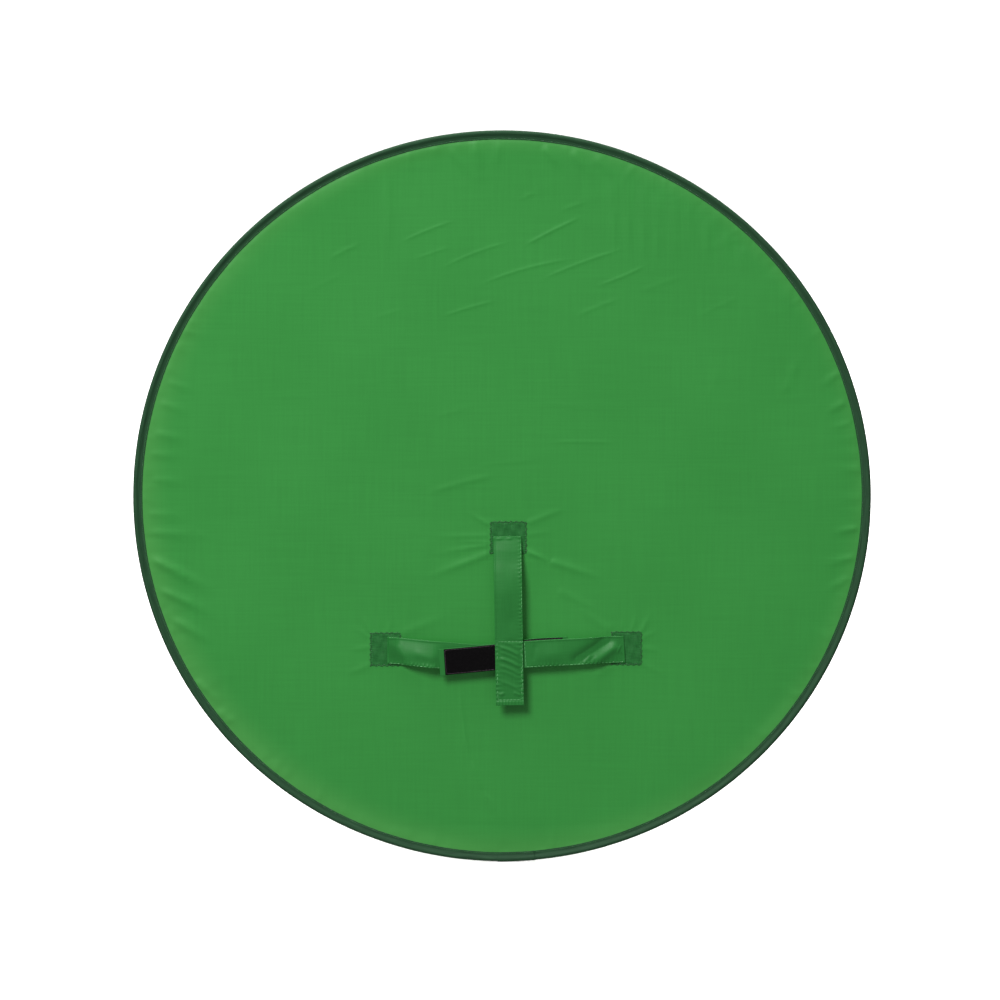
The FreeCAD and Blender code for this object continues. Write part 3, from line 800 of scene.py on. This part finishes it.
class Strap:
    """A strap's frame and its path, measured from its design nodes."""

    def __init__(self, side, middle):
        self.side, self.middle = side, middle
        joint = joints[f"{side}_strap_fold"]
        self.fold = np.array(joint["pos_m"]) / MM
        wx, _, wz = joint["axis"]
        self.along, self.across = np.array([-wz, 0, wx]), np.array([-wx, 0, -wz])
        u, v, height = self.measure(f"{side}_strap_web")
        self.length, self.rise = u.max(), height.max() - HALF_WEB
        bow = v.max() + v.min()
        self.width = v.max() - v.min() - abs(bow)
        self.ramp = u[height > height.max() - 0.01].min()
        self.curve = ((self.ramp / 2) ** 2 + (self.rise / 2) ** 2) / self.rise
        u, _, height = self.measure(f"{side}_strap_tail")
        self.tail, self.tail_drop = u.max(), -(height.max() + height.min()) / 2

    def measure(self, node):
        """How far a node's corners are along the strap, across it and off the fold's level."""
        points = node_points(node) - self.fold
        return points @ self.along, points @ self.across, -points[:, 1]

    def place(self, u, v, lift):
        """A point on the strap. Below 0, u goes round the fold and on along the sewn tail."""
        reach = np.clip(np.minimum(u, self.ramp - u), 0, None)
        drop = self.curve - np.sqrt(self.curve ** 2 - reach ** 2)
        height = np.where(u < self.ramp / 2, drop, self.rise - drop)
        slope = np.arcsin(reach / self.curve)
        turn_radius = self.tail_drop / 2
        turn = np.clip(-u / turn_radius, 0, math.pi)
        back = np.clip(-u - math.pi * turn_radius, 0, None)
        tilt = np.where(u > 0, slope, turn)
        run = np.where(u > 0, u, back - turn_radius * np.sin(turn))
        height = np.where(u > 0, height, turn_radius * (np.cos(turn) - 1))
        x = run - lift * np.sin(tilt)
        off = height + lift * np.cos(tilt)
        side = v + curve_through(*self.middle, np.clip(u, 0, self.length))
        run_and_side = x[..., None] * self.along + side[..., None] * self.across
        return self.fold + run_and_side - off[..., None] * [0, 1, 0]

    def start(self):
        """Where the sewn tail ends, as a place along the strap."""
        return -(self.tail + math.pi * self.tail_drop / 2)


left = Strap("left", ((0, 24, 101, 169, 217, 271, 346), (0, -1.3, -7.0, -11.7, -10.0, -1.2, 3.6)))
right = Strap("right", ((0, 45, 102, 150, 195, 249, 300, 357), (0, -2.2, -3.9, -4.7, -4.8, -3.1, -1.4, 0)))
vertical = Strap("vertical", ((0, 160, 325), (0, 0, 0)))
for strap in (left, right, vertical):
    print(f"{strap.side} strap: {strap.length:.1f} x {strap.width:.1f} mm, stands {strap.rise:.1f} off, "
          f"climbs over {strap.ramp:.1f}, tail {strap.tail:.1f}")

# %% [markdown]
# ### How each strap's cloth lies
# Every strap has the same habits, in `sleeve`: a crown, a rolled edge opposite the seam and
# gathers along the seam. Then each gets its own folds, as ridges in its own (u, v). The left
# strap bellies out just past its root. The right one has a deep diagonal valley from its root's
# top corner, with a bright fold beside it. The vertical one is smooth above, and below it is
# stitched to its hook pad, which draws it into slanting puckers.

# %% Each strap's relief
def gathers(u, pitch, seed):
    """Irregular puckers along a seam, from 0 to 1."""
    draw = np.random.default_rng(seed)
    phase = sum(draw.uniform(0.5, 1.1) * np.sin(u / scale + draw.uniform(0, 6)) for scale in (9, 21, 47))
    return (0.5 + 0.5 * np.sin(math.tau * u / pitch + phase)) ** 1.5 * (0.65 + 0.35 * np.sin(u / 13 + seed))


def mound(u, v, place, height, spread):
    """A soft round rise at a place, or a hollow where its height is negative."""
    return height * np.exp(-((u - place[0]) / spread[0]) ** 2 - ((v - place[1]) / spread[1]) ** 2)


def sleeve(strap, u, v, seam, crown, roll):
    """The lift that every strap has: seam is the sign of its sewn edge's v."""
    half = strap.width / 2
    to_seam, to_fold = half - seam * v, half + seam * v
    free = smooth(u / 14)
    lift = crown * free * (1 - (v / half) ** 2)
    lift = lift + roll * np.exp(-((to_fold - 1.3) / 1.3) ** 2)
    lift = lift + 1.6 * gathers(u, 7.5, 3) * np.exp(-np.abs(to_seam - 3.2) / 2.6) * smooth(to_seam / 1.5)
    return lift - 0.35 * np.exp(-((to_seam - 1.6) / 0.7) ** 2)


def left_relief(u, v):
    free = 1 - smooth((u - 85) / 30)
    lift = sleeve(left, u, v, -1, 1.0, 0.9)
    turned = smooth((u - 3 - 0.36 * (26 - v)) / 20)
    lift = lift + 5.6 * turned * smooth((29 - v) / 36) + 6.0 * (1 - turned) * smooth((v + 24) / 40)
    lift = lift + mound(u, v, (80, -27), 2.2, (15, 7))
    lift = lift + ridge(u, v, (22, 20), (34, -18), 0.8, 5)
    lift = lift + ridge(u, v, (48, 4), (95, -14), 0.8, 8)
    for i, place in enumerate((24, 33, 47, 56, 68, 77, 88)):
        lift = lift + ridge(u, v, (place, -25), (place + 5 - 3 * (i % 2), -13), 0.7, 1.8, fades=(0.1, 0.8))
    return np.maximum(lift * free, 0.12 * gathers(u, 9, 8) * (u > 60) - 0.5 * (u < 60))


def right_relief(u, v):
    free = 1 - smooth((u - 172) / 20)
    lift = sleeve(right, u, v, 1, 1.3, 0.9)
    lift = lift - ridge(u, v, (108, 25), (14, -27), 4.8, 11, fades=(0.2, 0.2))
    lift = lift + ridge(u, v, (62, 26), (8, -12), 3.4, 9, fades=(0.25, 0.25))
    lift = lift + ridge(u, v, (80, 24), (62, 6), 0.9, 2.6) - ridge(u, v, (72, 24), (55, 8), 0.6, 2.0)
    lift = lift + ridge(u, v, (3, -12), (15, 9), 0.8, 1.8) + ridge(u, v, (3, 11), (14, -9), 0.8, 1.8)
    lift = lift + mound(u, v, (140, 6), 2.6, (26, 18))
    lift = lift - ridge(u, v, (168, -24), (178, 18), 1.0, 6)
    return np.maximum(lift * free, -2.5 * (u < 160))


SLANT_HEIGHT = 1.35                  # times the height listed for each slanting pucker


def vertical_relief(u, v):
    # The rise past the fold stays low, so that the opened strap clears its patch.
    half = vertical.width / 2
    pad = smooth((u - 193) / 6)
    upper = sleeve(vertical, u, v, 1, 1.2, 0.8)
    upper = upper + 3.6 * smooth(u / 30) * (1 - smooth((u - 28) / 70))
    upper = upper + mound(u, v, (60, 3), -0.7, (20, 14))
    upper = upper + mound(u, v, (118, -10), 1.0, (25, 12))
    upper = upper + mound(u, v, (160, 8), -1.0, (16, 12))
    rippled = (0.6 + 0.4 * np.sin(v / 3.2)) * smooth((14 - v) / 10)
    upper = upper + 1.1 * np.exp(-((u - 3.5) / 2.2) ** 2) * rippled
    lower = 0.6 * (1 - (v / half) ** 4)
    slants = ((203, 0.5), (216, 1.5), (226, 0.8), (238, 1.7), (252, 1.0), (262, 0.6), (283, 0.7))
    for place, height in slants:
        start, end = (place - 6, -23), (place + 16, 24)
        lower = lower + ridge(u, v, start, end, SLANT_HEIGHT * height, 3.6, 3, fades=(0.25, 0.25))
    lower = lower + ridge(u, v, (306, -22), (300, -8), 1.2, 3) + ridge(u, v, (306, 22), (299, 6), 1.2, 3)
    edges = np.exp(-(half - np.abs(v)) / 5.5) * smooth((half - np.abs(v)) / 1.8)
    lower = lower + 1.9 * gathers(u + 2.5 * np.sign(v), 8.5, 11) * edges
    lower = lower - 0.45 * np.exp(-((half - np.abs(v) - 3.9) / 0.8) ** 2)
    cross = np.exp(-((u - 201) / 1.6) ** 2)
    lower = lower - 0.5 * cross + 0.9 * gathers(v, 7, 4) * np.exp(-((u - 204.5) / 3.0) ** 2)
    hem = smooth((u - (vertical.length - 10)) / 3)
    bundled = 1.2 + 1.5 * gathers(v, 6.2, 9)
    return upper * (1 - pad) + lower * pad * (1 - hem) + bundled * hem


reliefs = {"left": left_relief, "right": right_relief, "vertical": vertical_relief}

# %% [markdown]
# The strap is one slab from the end of its sewn tail to its tip. Its tail is sewn to the
# screen and the rest turns about the fold, so the piece blends between the two bodies there.
# The tail lies nearer to the screen than any point of the strap, so the blend runs straight
# off the screen, from just in front of the tail to the strap's back.

# %% Make the straps
def strap_piece(strap):
    """One strap's cloth, from the end of its sewn tail to its tip."""
    relief = reliefs[strap.side]
    turn_start = -math.pi * strap.tail_drop / 2
    us = np.concatenate([
        stations(strap.start(), turn_start, 2.5, 0.5)[:-1], np.linspace(turn_start, 0, 9)[:-1],
        np.arange(0, 36, 0.9), stations(36, strap.length, 1.35, 0.5)[5:]])
    vs = stations(-strap.width / 2, strap.width / 2, 1.7, 0.7)

    def lifts(u, v):
        over = np.where(u > 0, relief(np.clip(u, 0, None), v) * smooth(u / 2.5 + 0.1), 0)
        thick = HALF_WEB * (1 + (strap.side == "vertical") * 2 * smooth((u - strap.length + 10) / 2))
        follow = 0.85 * smooth((u - 3) / 8)
        return -thick + follow * (np.maximum(over - 1.0, 0) + np.minimum(over, 0)), HALF_WEB + over

    piece = slab(f"{strap.side}_strap_cloth", us, vs, lifts, strap.place, 0.7, strap_cloth)
    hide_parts(f"{strap.side}_strap_web", f"{strap.side}_strap_tail")
    sewn = strap.fold + [0, strap.tail_drop - HALF_WEB, 0]
    turned = strap.fold + [0, HALF_WEB, 0]
    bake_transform(piece, "screen", f"{strap.side}_strap", start=sewn * MM, end=turned * MM)
    print(f"{piece.name}: {len(piece.data.polygons)} faces")


for strap in (left, right, vertical):
    strap_piece(strap)

# %% [markdown]
# ## The hook-and-loop pads
# A pad is a woven nylon ground with a pile. The grounds are slabs on the straps' own paths.
# The pile is thousands of tiny arches, so Geometry Nodes makes it: one arch of monofilament
# is put at every point of a carrier, turned about its own stem by a seeded random angle. A
# loop is a low closed arch and a hook is a taller one that stops short, and both come out of
# the same tree. Real loops are 0.3 mm apart; these are 2 mm apart and as much thicker.

# %% The pile's node tree


def new_tree(name, inputs):
    """An empty Geometry Nodes tree with named inputs, and its two ends."""
    tree = bpy.data.node_groups.new(name, "GeometryNodeTree")
    tree.interface.new_socket("Geometry", in_out="INPUT", socket_type="NodeSocketGeometry")
    for label, value in inputs.items():
        kind = {float: "NodeSocketFloat", int: "NodeSocketInt"}.get(type(value), "NodeSocketMaterial")
        socket = tree.interface.new_socket(label, in_out="INPUT", socket_type=kind)
        if value is not None:
            socket.default_value = value
    tree.interface.new_socket("Geometry", in_out="OUTPUT", socket_type="NodeSocketGeometry")
    return tree, tree.nodes.new("NodeGroupInput").outputs, tree.nodes.new("NodeGroupOutput").inputs[0]


def end_tree(tree, instances, given, result):
    """Every tree ends by making its instances real and giving them their material."""
    real = add(tree, "GeometryNodeRealizeInstances", {0: instances})
    rounded = add(tree, "GeometryNodeSetShadeSmooth", {0: real.outputs[0]})
    painted = add(tree, "GeometryNodeSetMaterial", {0: rounded.outputs[0], "Material": given["Material"]})
    tree.links.new(painted.outputs[0], result)


pile_tree, given, result = new_tree("Pile", {
    "Arch radius": 0.5 * MM, "Sweep": math.pi, "Fibre": 0.1 * MM, "Seed": 1, "Material": None})
arch = add(pile_tree, "GeometryNodeCurveArc", {
    "Resolution": 5, "Radius": given["Arch radius"], "Start Angle": 0.0, "Sweep Angle": given["Sweep"]})
fibre_section = add(pile_tree, "GeometryNodeCurvePrimitiveCircle", {
    "Resolution": 3, "Radius": given["Fibre"]})
filament = add(pile_tree, "GeometryNodeCurveToMesh", {
    0: arch.outputs[0], 1: fibre_section.outputs[0], "Fill Caps": True})
upright = add(pile_tree, "GeometryNodeTransform", {0: filament.outputs[0], "Rotation": (math.pi / 2, 0, 0)})
outward = add(pile_tree, "GeometryNodeInputNamedAttribute", {"Name": "outward"},
              data_type="FLOAT_VECTOR")
stem = add(pile_tree, "FunctionNodeAlignRotationToVector", {"Vector": outward.outputs[0]}, axis="Z")
spin = add(pile_tree, "FunctionNodeRandomValue", {2: 0.0, 3: math.tau, "Seed": given["Seed"]},
           data_type="FLOAT")
about = add(pile_tree, "ShaderNodeCombineXYZ", {2: spin.outputs[1]})
turned = add(pile_tree, "FunctionNodeRotateRotation", {0: stem.outputs[0], 1: about.outputs[0]},
             rotation_space="LOCAL")
size = add(pile_tree, "FunctionNodeRandomValue", {2: 0.75, 3: 1.15, "Seed": given["Seed"]},
           data_type="FLOAT")
sprung = add(pile_tree, "GeometryNodeInstanceOnPoints", {
    "Points": given["Geometry"], "Instance": upright.outputs[0], "Rotation": turned.outputs[0],
    "Scale": size.outputs[1]})
end_tree(pile_tree, sprung.outputs[0], given, result)
print("pile tree:", len(pile_tree.nodes), "nodes")

# %% Run a tree on a carrier


def grown(name, carrier, tree, **inputs):
    """The plain mesh object that a tree makes from a carrier mesh."""
    piece = bpy.data.objects.new(name, carrier)
    bpy.context.scene.collection.objects.link(piece)
    modifier = piece.modifiers.new("Nodes", "NODES")
    modifier.node_group = tree
    for item in tree.interface.items_tree:
        if item.in_out == "INPUT" and item.name in inputs:
            modifier[item.identifier] = inputs[item.name]
    graph = bpy.context.evaluated_depsgraph_get()
    made = bpy.data.meshes.new_from_object(piece.evaluated_get(graph))
    piece.modifiers.clear()
    piece.data = made
    made.name = name
    for extra in [a.name for a in made.attributes if a.name in ("outward", "along")]:
        made.attributes.remove(made.attributes[extra])
    return piece


def carrier_mesh(points, outward, edges):
    """Points in millimetres, with the direction off the cloth at each."""
    mesh = bpy.data.meshes.new("carrier")
    mesh.from_pydata((points * MM).tolist(), edges, [])
    mesh.attributes.new("outward", "FLOAT_VECTOR", "POINT").data.foreach_set("vector", outward.ravel())
    return mesh


# %% Pads and their pile
PAD_WIDTH = 50.0
PILE_FROM, PILE_TO = -21.8, 21.9     # across a pad: the pile stops short of its sewn border
PILE_MARGIN = 3


def pad_piece(strap, node, kind, front):
    """A pad on the front or the back of a strap: its woven ground and its pile."""
    body = f"{strap.side}_strap"
    u, _, height = strap.measure(node)
    start, end = u.min(), u.max()
    base = HALF_WEB if front else -HALF_WEB
    full = {"loop": 1.5, "hook": 1.2}[kind]
    ground, material = full * 0.5, {"loop": loop_nylon, "hook": hook_nylon}[kind]
    side = 1 if front else -1

    def lifts(u, v):
        edge = np.minimum(PAD_WIDTH / 2 - np.abs(v), np.minimum(u - start, end - u))
        woven = 0.06 * np.sin(math.tau * u / 2.4) * np.sin(math.tau * v / 2.4)
        sewn = -0.25 * np.exp(-((edge - 1.9) / 0.7) ** 2)
        outer = base + side * (ground + 0.1 + woven + sewn)
        inner = base - side * 0.15 + 0 * u
        return (inner, outer) if front else (outer, inner)

    us = stations(start, end, 1.2, 0.5)
    vs = stations(-PAD_WIDTH / 2, PAD_WIDTH / 2, 1.2, 0.5)
    slot = f"{kind}_pile" if kind == "loop" else "hook_tape"
    pad = slab(f"{strap.side}_strap_{kind}_ground", us, vs, lifts, strap.place, 0.5, material)
    ride(pad, body, slot, node)
    draw = np.random.default_rng(len(node))
    pitch = {"loop": 1.9, "hook": 2.1}[kind]
    u, v = np.meshgrid(np.arange(start + PILE_MARGIN, end - PILE_MARGIN, pitch),
                       np.arange(PILE_FROM, PILE_TO, pitch), indexing="ij")
    u, v = (grid.ravel() + draw.uniform(-0.35, 0.35, grid.size) * (kind == "loop") for grid in (u, v))
    roots = strap.place(u, v, base + side * ground + 0 * u)
    outward = strap.place(u, v, base + side * (ground + 1) + 0 * u) - roots
    arch, sweep, thick = {"loop": (0.62, math.pi, 0.17), "hook": (0.5, math.radians(235), 0.1)}[kind]
    pile = grown(f"{strap.side}_strap_{kind}_pile", carrier_mesh(roots, outward, []), pile_tree,
                 **{"Arch radius": arch * MM, "Sweep": sweep, "Fibre": thick * MM, "Seed": 7,
                    "Material": material})
    ride(pile, body, slot)


pad_piece(left, "left_strap_loop_pad", "loop", True)
pad_piece(right, "right_strap_loop_pad", "loop", True)
pad_piece(right, "right_strap_hook_pad", "hook", False)
pad_piece(vertical, "vertical_strap_hook_pad", "hook", False)

# %% [markdown]
# ## Sewing
# Every seam is a line on the cloth. One Geometry Nodes tree turns any such line into sewing:
# it measures the line off in stitches, moves every other point sideways for a zigzag, and lays
# one short thread along each piece between two points, sunk halfway into the cloth. Real
# stitches are about 3 mm long, in thread under half a millimetre thick. That is too fine to
# show, so they are drawn longer and two to three times as thick.

# %% The stitch tree
stitch_tree, given, result = new_tree("Stitches", {
    "Pitch": 3 * MM, "Zigzag": 0.0, "Thread width": 0.8 * MM, "Thread height": 0.7 * MM,
    "Material": None})
line = add(stitch_tree, "GeometryNodeMeshToCurve", {0: given["Geometry"]})
measured = add(stitch_tree, "GeometryNodeResampleCurve", {0: line.outputs[0], "Length": given["Pitch"]},
               mode="LENGTH")
outward = add(stitch_tree, "GeometryNodeInputNamedAttribute", {"Name": "outward"},
              data_type="FLOAT_VECTOR").outputs[0]
tangent = add(stitch_tree, "GeometryNodeInputTangent").outputs[0]
aside = add(stitch_tree, "ShaderNodeVectorMath", {0: outward, 1: tangent},
            operation="CROSS_PRODUCT").outputs[0]
index = add(stitch_tree, "GeometryNodeInputIndex").outputs[0]
parity = add(stitch_tree, "ShaderNodeMath", {0: index, 1: 2.0}, operation="MODULO").outputs[0]
swing = add(stitch_tree, "ShaderNodeMath", {0: parity, 1: -0.5}, operation="ADD").outputs[0]
reach = add(stitch_tree, "ShaderNodeMath", {0: swing, 1: given["Zigzag"]},
            operation="MULTIPLY").outputs[0]
shift = add(stitch_tree, "ShaderNodeVectorMath", {0: aside, "Scale": reach},
            operation="SCALE").outputs[0]
zigzag = add(stitch_tree, "GeometryNodeSetPosition", {0: measured.outputs[0], "Offset": shift})
spans = add(stitch_tree, "GeometryNodeCurveToMesh", {0: zigzag.outputs[0]})
ends = add(stitch_tree, "GeometryNodeInputMeshEdgeVertices")
span = add(stitch_tree, "ShaderNodeVectorMath", {0: ends.outputs[3], 1: ends.outputs[2]},
           operation="SUBTRACT").outputs[0]
kept = add(stitch_tree, "GeometryNodeStoreNamedAttribute",
           {0: spans.outputs[0], "Name": "along", "Value": span}, data_type="FLOAT_VECTOR", domain="EDGE")
holes = add(stitch_tree, "GeometryNodeMeshToPoints", {0: kept.outputs[0]}, mode="EDGES")
along = add(stitch_tree, "GeometryNodeInputNamedAttribute", {"Name": "along"},
            data_type="FLOAT_VECTOR").outputs[0]
lying = add(stitch_tree, "FunctionNodeAlignRotationToVector", {"Vector": along}, axis="Z")
facing = add(stitch_tree, "FunctionNodeAlignRotationToVector", {
    "Rotation": lying.outputs[0], "Vector": outward}, axis="Y", pivot_axis="Z")
length = add(stitch_tree, "ShaderNodeVectorMath", {0: along}, operation="LENGTH").outputs["Value"]
size = add(stitch_tree, "ShaderNodeCombineXYZ",
           {0: given["Thread width"], 1: given["Thread height"], 2: length})
stitch = add(stitch_tree, "GeometryNodeMeshUVSphere", {"Segments": 6, "Rings": 4, "Radius": 0.5})
sewn = add(stitch_tree, "GeometryNodeInstanceOnPoints", {
    "Points": holes.outputs[0], "Instance": stitch.outputs[0], "Rotation": facing.outputs[0],
    "Scale": size.outputs[0]})
end_tree(stitch_tree, sewn.outputs[0], given, result)
print("stitch tree:", len(stitch_tree.nodes), "nodes")


# %% Lines to sew along
def sewing(name, lines, material, pitch, zigzag=0.0, width=0.8, height=0.7):
    """Stitches along several lines. Each line is its points, its directions and whether it closes."""
    points, outward, edges, count = [], [], [], 0
    for spots, directions, closed in lines:
        size = len(spots)
        edges += [(count + i, count + (i + 1) % size) for i in range(size if closed else size - 1)]
        points.append(spots)
        outward.append(directions / np.linalg.norm(directions, axis=1, keepdims=True))
        count += size
    carrier = carrier_mesh(np.concatenate(points), np.concatenate(outward), edges)
    sizes = {"Pitch": pitch, "Zigzag": zigzag, "Thread width": width, "Thread height": height}
    return grown(name, carrier, stitch_tree, Material=material, **{key: mm * MM for key, mm in sizes.items()})


def line_on(place, lifts, u, v):
    """A line over a slab's front, and the direction off it."""
    lift = lifts(u, v)[1] + 0 * u
    spots = place(u, v, lift)
    return spots, place(u, v, lift + 1) - spots


def box_line(low_u, high_u, low_v, high_v, step=1.0):
    """A rectangle's outline as closely spaced points."""
    us, vs = np.arange(low_u, high_u, step), np.arange(low_v, high_v, step)
    u = np.concatenate([us, high_u + 0 * vs, us[::-1] + step, low_u + 0 * vs])
    v = np.concatenate([low_v + 0 * us, vs, high_v + 0 * us, vs[::-1] + step])
    return np.clip(u, low_u, high_u), np.clip(v, low_v, high_v)


# %% Sew the rim and the patches
ZIGZAG_INSET = 0.6
turns = np.arange(1800) * math.tau / 1800
lapped = 0.62 * ((turns > lap_start) & (turns < lap_end))
rows = []
for side in (-1, 1):
    off = side * (THREAD_LIFT - 0.2 + lapped)
    spots = np.stack([ring_x + row_radius * np.cos(turns), cloth_y + off,
                      ring_z - row_radius * np.sin(turns)], axis=1)
    rows.append((spots, np.tile([0.0, float(side), 0.0], (len(turns), 1)), True))
rim = sewing("rim_stitches", rows, rim_thread_painted_shade, pitch=3.4, width=0.9, height=0.8)
ride(rim, "screen", "thread", "rim_stitching")
for side, (lifts, place) in patch_shape.items():
    half = patch_size[side] / 2 - ZIGZAG_INSET
    u, v = box_line(-half[0], half[0], -half[1], half[1])
    outline = [(*line_on(place, lifts, u, v), True)]
    zigzag = sewing(f"{side}_patch_stitches", outline, patch_thread_painted_shade, pitch=5.6, zigzag=4.2, width=1.5)
    ride(zigzag, "screen", "thread", f"{side}_patch_stitching")

# %% Sew the straps
ROW_INSET = 1.6
PAD_ROW_INSET = 1.9
ROW_START = {"left": 3, "right": 3, "vertical": 14}     # the vertical one's clears its patch when it opens


def strap_rows(strap, seam, seam_end, pad_node, under=False, across=None):
    """A strap's seam row and the row round a pad: on the strap itself where the pad is under it."""
    relief = reliefs[strap.side]

    def cloth(u, v):
        return 0, HALF_WEB + relief(u, v)

    def over_pad(u, v):
        return 0, 0 * u + HALF_WEB + 0.65

    u = np.arange(ROW_START[strap.side], seam_end, 0.8)
    lines = [(*line_on(strap.place, cloth, u, seam * (strap.width / 2 - ROW_INSET) + 0 * u), False)]
    if across is not None:
        v = np.arange(-strap.width / 2 + 2, strap.width / 2 - 1, 0.8)
        lines.append((*line_on(strap.place, cloth, across + 0 * v, v), False))
    span = strap.measure(pad_node)[0]
    half = PAD_WIDTH / 2 - PAD_ROW_INSET
    u, v = box_line(span.min() + PAD_ROW_INSET, span.max() - PAD_ROW_INSET, -half, half)
    pad_line = (*line_on(strap.place, cloth if under else over_pad, u, v), True)
    if under:
        lines.append(pad_line)
    green = sewing(f"{strap.side}_strap_stitches", lines, strap_thread_painted_highlight, pitch=7.0, width=1.2)
    ride(green, f"{strap.side}_strap", "thread", f"{strap.side}_strap_stitching")
    if not under:
        black = sewing(f"{strap.side}_pad_stitches", [pad_line], pad_thread,
                       pitch=6.0, width=1.0, height=0.6)
        ride(black, f"{strap.side}_strap", "thread")


hook_start = right.measure("right_strap_hook_pad")[0].min()
strap_rows(left, -1, left.measure("left_strap_loop_pad")[0].min(), "left_strap_loop_pad")
strap_rows(right, 1, hook_start, "right_strap_loop_pad", across=hook_start)
strap_rows(vertical, 1, vertical.length - 3, "vertical_strap_hook_pad", under=True)

# %% [markdown]
# ## The studio
# The ring stands on a plain pale floor under soft light. A large softbox high on the left
# lights the front, so that the straps' upper edges are bright and their shadows fall softly
# below them. A broad light straight above whitens the floor, a plain fill lights the back, and
# the pale surroundings fill the rest. The camera is far away with a long lens and looks slightly down.

# %% Floor and light
SURROUND = 0.32          # how brightly the room round the object fills its shadows
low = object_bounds()[0]
floor = bpy.data.objects.new("floor", bpy.data.meshes.new("floor"))
FLOOR_HALF = 60.0
corners = [(x * FLOOR_HALF, y * FLOOR_HALF, low.z - 0.0005) for x, y in ((-1, -1), (1, -1), (1, 1), (-1, 1))]
floor.data.from_pydata(corners, [], [(0, 1, 2, 3)])
paper = new_material("pale_paper_floor", {"Base Color": linear("#F4F4F2"), "Roughness": 0.9})[0]
floor.data.materials.append(paper)
bpy.context.scene.collection.objects.link(floor)
floor.visible_diffuse = floor.visible_glossy = False

world = bpy.data.worlds.new("pale_studio")
world.use_nodes = True
background = world.node_tree.nodes["Background"]
background.inputs["Color"].default_value = linear("#FFFFFF")
seen = add(world.node_tree, "ShaderNodeLightPath").outputs["Is Camera Ray"]
strength = add(world.node_tree, "ShaderNodeMapRange", {0: seen, 3: SURROUND, 4: 1.0})
world.node_tree.links.new(strength.outputs[0], background.inputs["Strength"])
bpy.context.scene.world = world
bpy.context.scene.view_settings.view_transform = "Standard"


def lamp(name, kind, energy, place, target, **settings):
    """A light at a place, turned to face its target."""
    light = bpy.data.objects.new(name, bpy.data.lights.new(name, kind))
    light.data.energy = energy
    for key, value in settings.items():
        setattr(light.data, key, value)
    light.location = place
    light.rotation_euler = (Vector(target) - Vector(place)).to_track_quat("-Z", "Y").to_euler()
    bpy.context.scene.collection.objects.link(light)


ring_middle = Vector((ring_x, cloth_y, ring_z)) * MM
lamp("key_softbox", "AREA", 770, (-3.4, -6.5, 5.8), ring_middle, shape="SQUARE", size=3.4)
lamp("back_fill", "AREA", 420, (2.5, 7.0, 4.0), ring_middle, shape="SQUARE", size=3.0, use_shadow=False)
lamp("overhead_light", "SUN", 3.2, (0, 0.3, 6), ring_middle, angle=math.radians(40))
print("floor at z", round(low.z, 4))

# %% Camera
ELEVATION = math.radians(7.9)
FRAME_WIDTH = 1.9240       # metres across the picture, at the disc
LENS, SENSOR = 1000.0, 36.0
camera = bpy.data.objects.new("camera", bpy.data.cameras.new("camera"))
camera.data.lens, camera.data.sensor_width = LENS, SENSOR
reach = FRAME_WIDTH * LENS / SENSOR
AIM_SHIFT = Vector((-0.0039, 0, -0.0070))      # sets the disc a little right of centre and above it
aim = ring_middle + AIM_SHIFT
camera.location = aim + reach * Vector((0, -math.cos(ELEVATION), math.sin(ELEVATION)))
camera.rotation_euler = (aim - camera.location).to_track_quat("-Z", "Y").to_euler()
camera.data.clip_end = 200
bpy.context.scene.collection.objects.link(camera)
bpy.context.scene.camera = camera
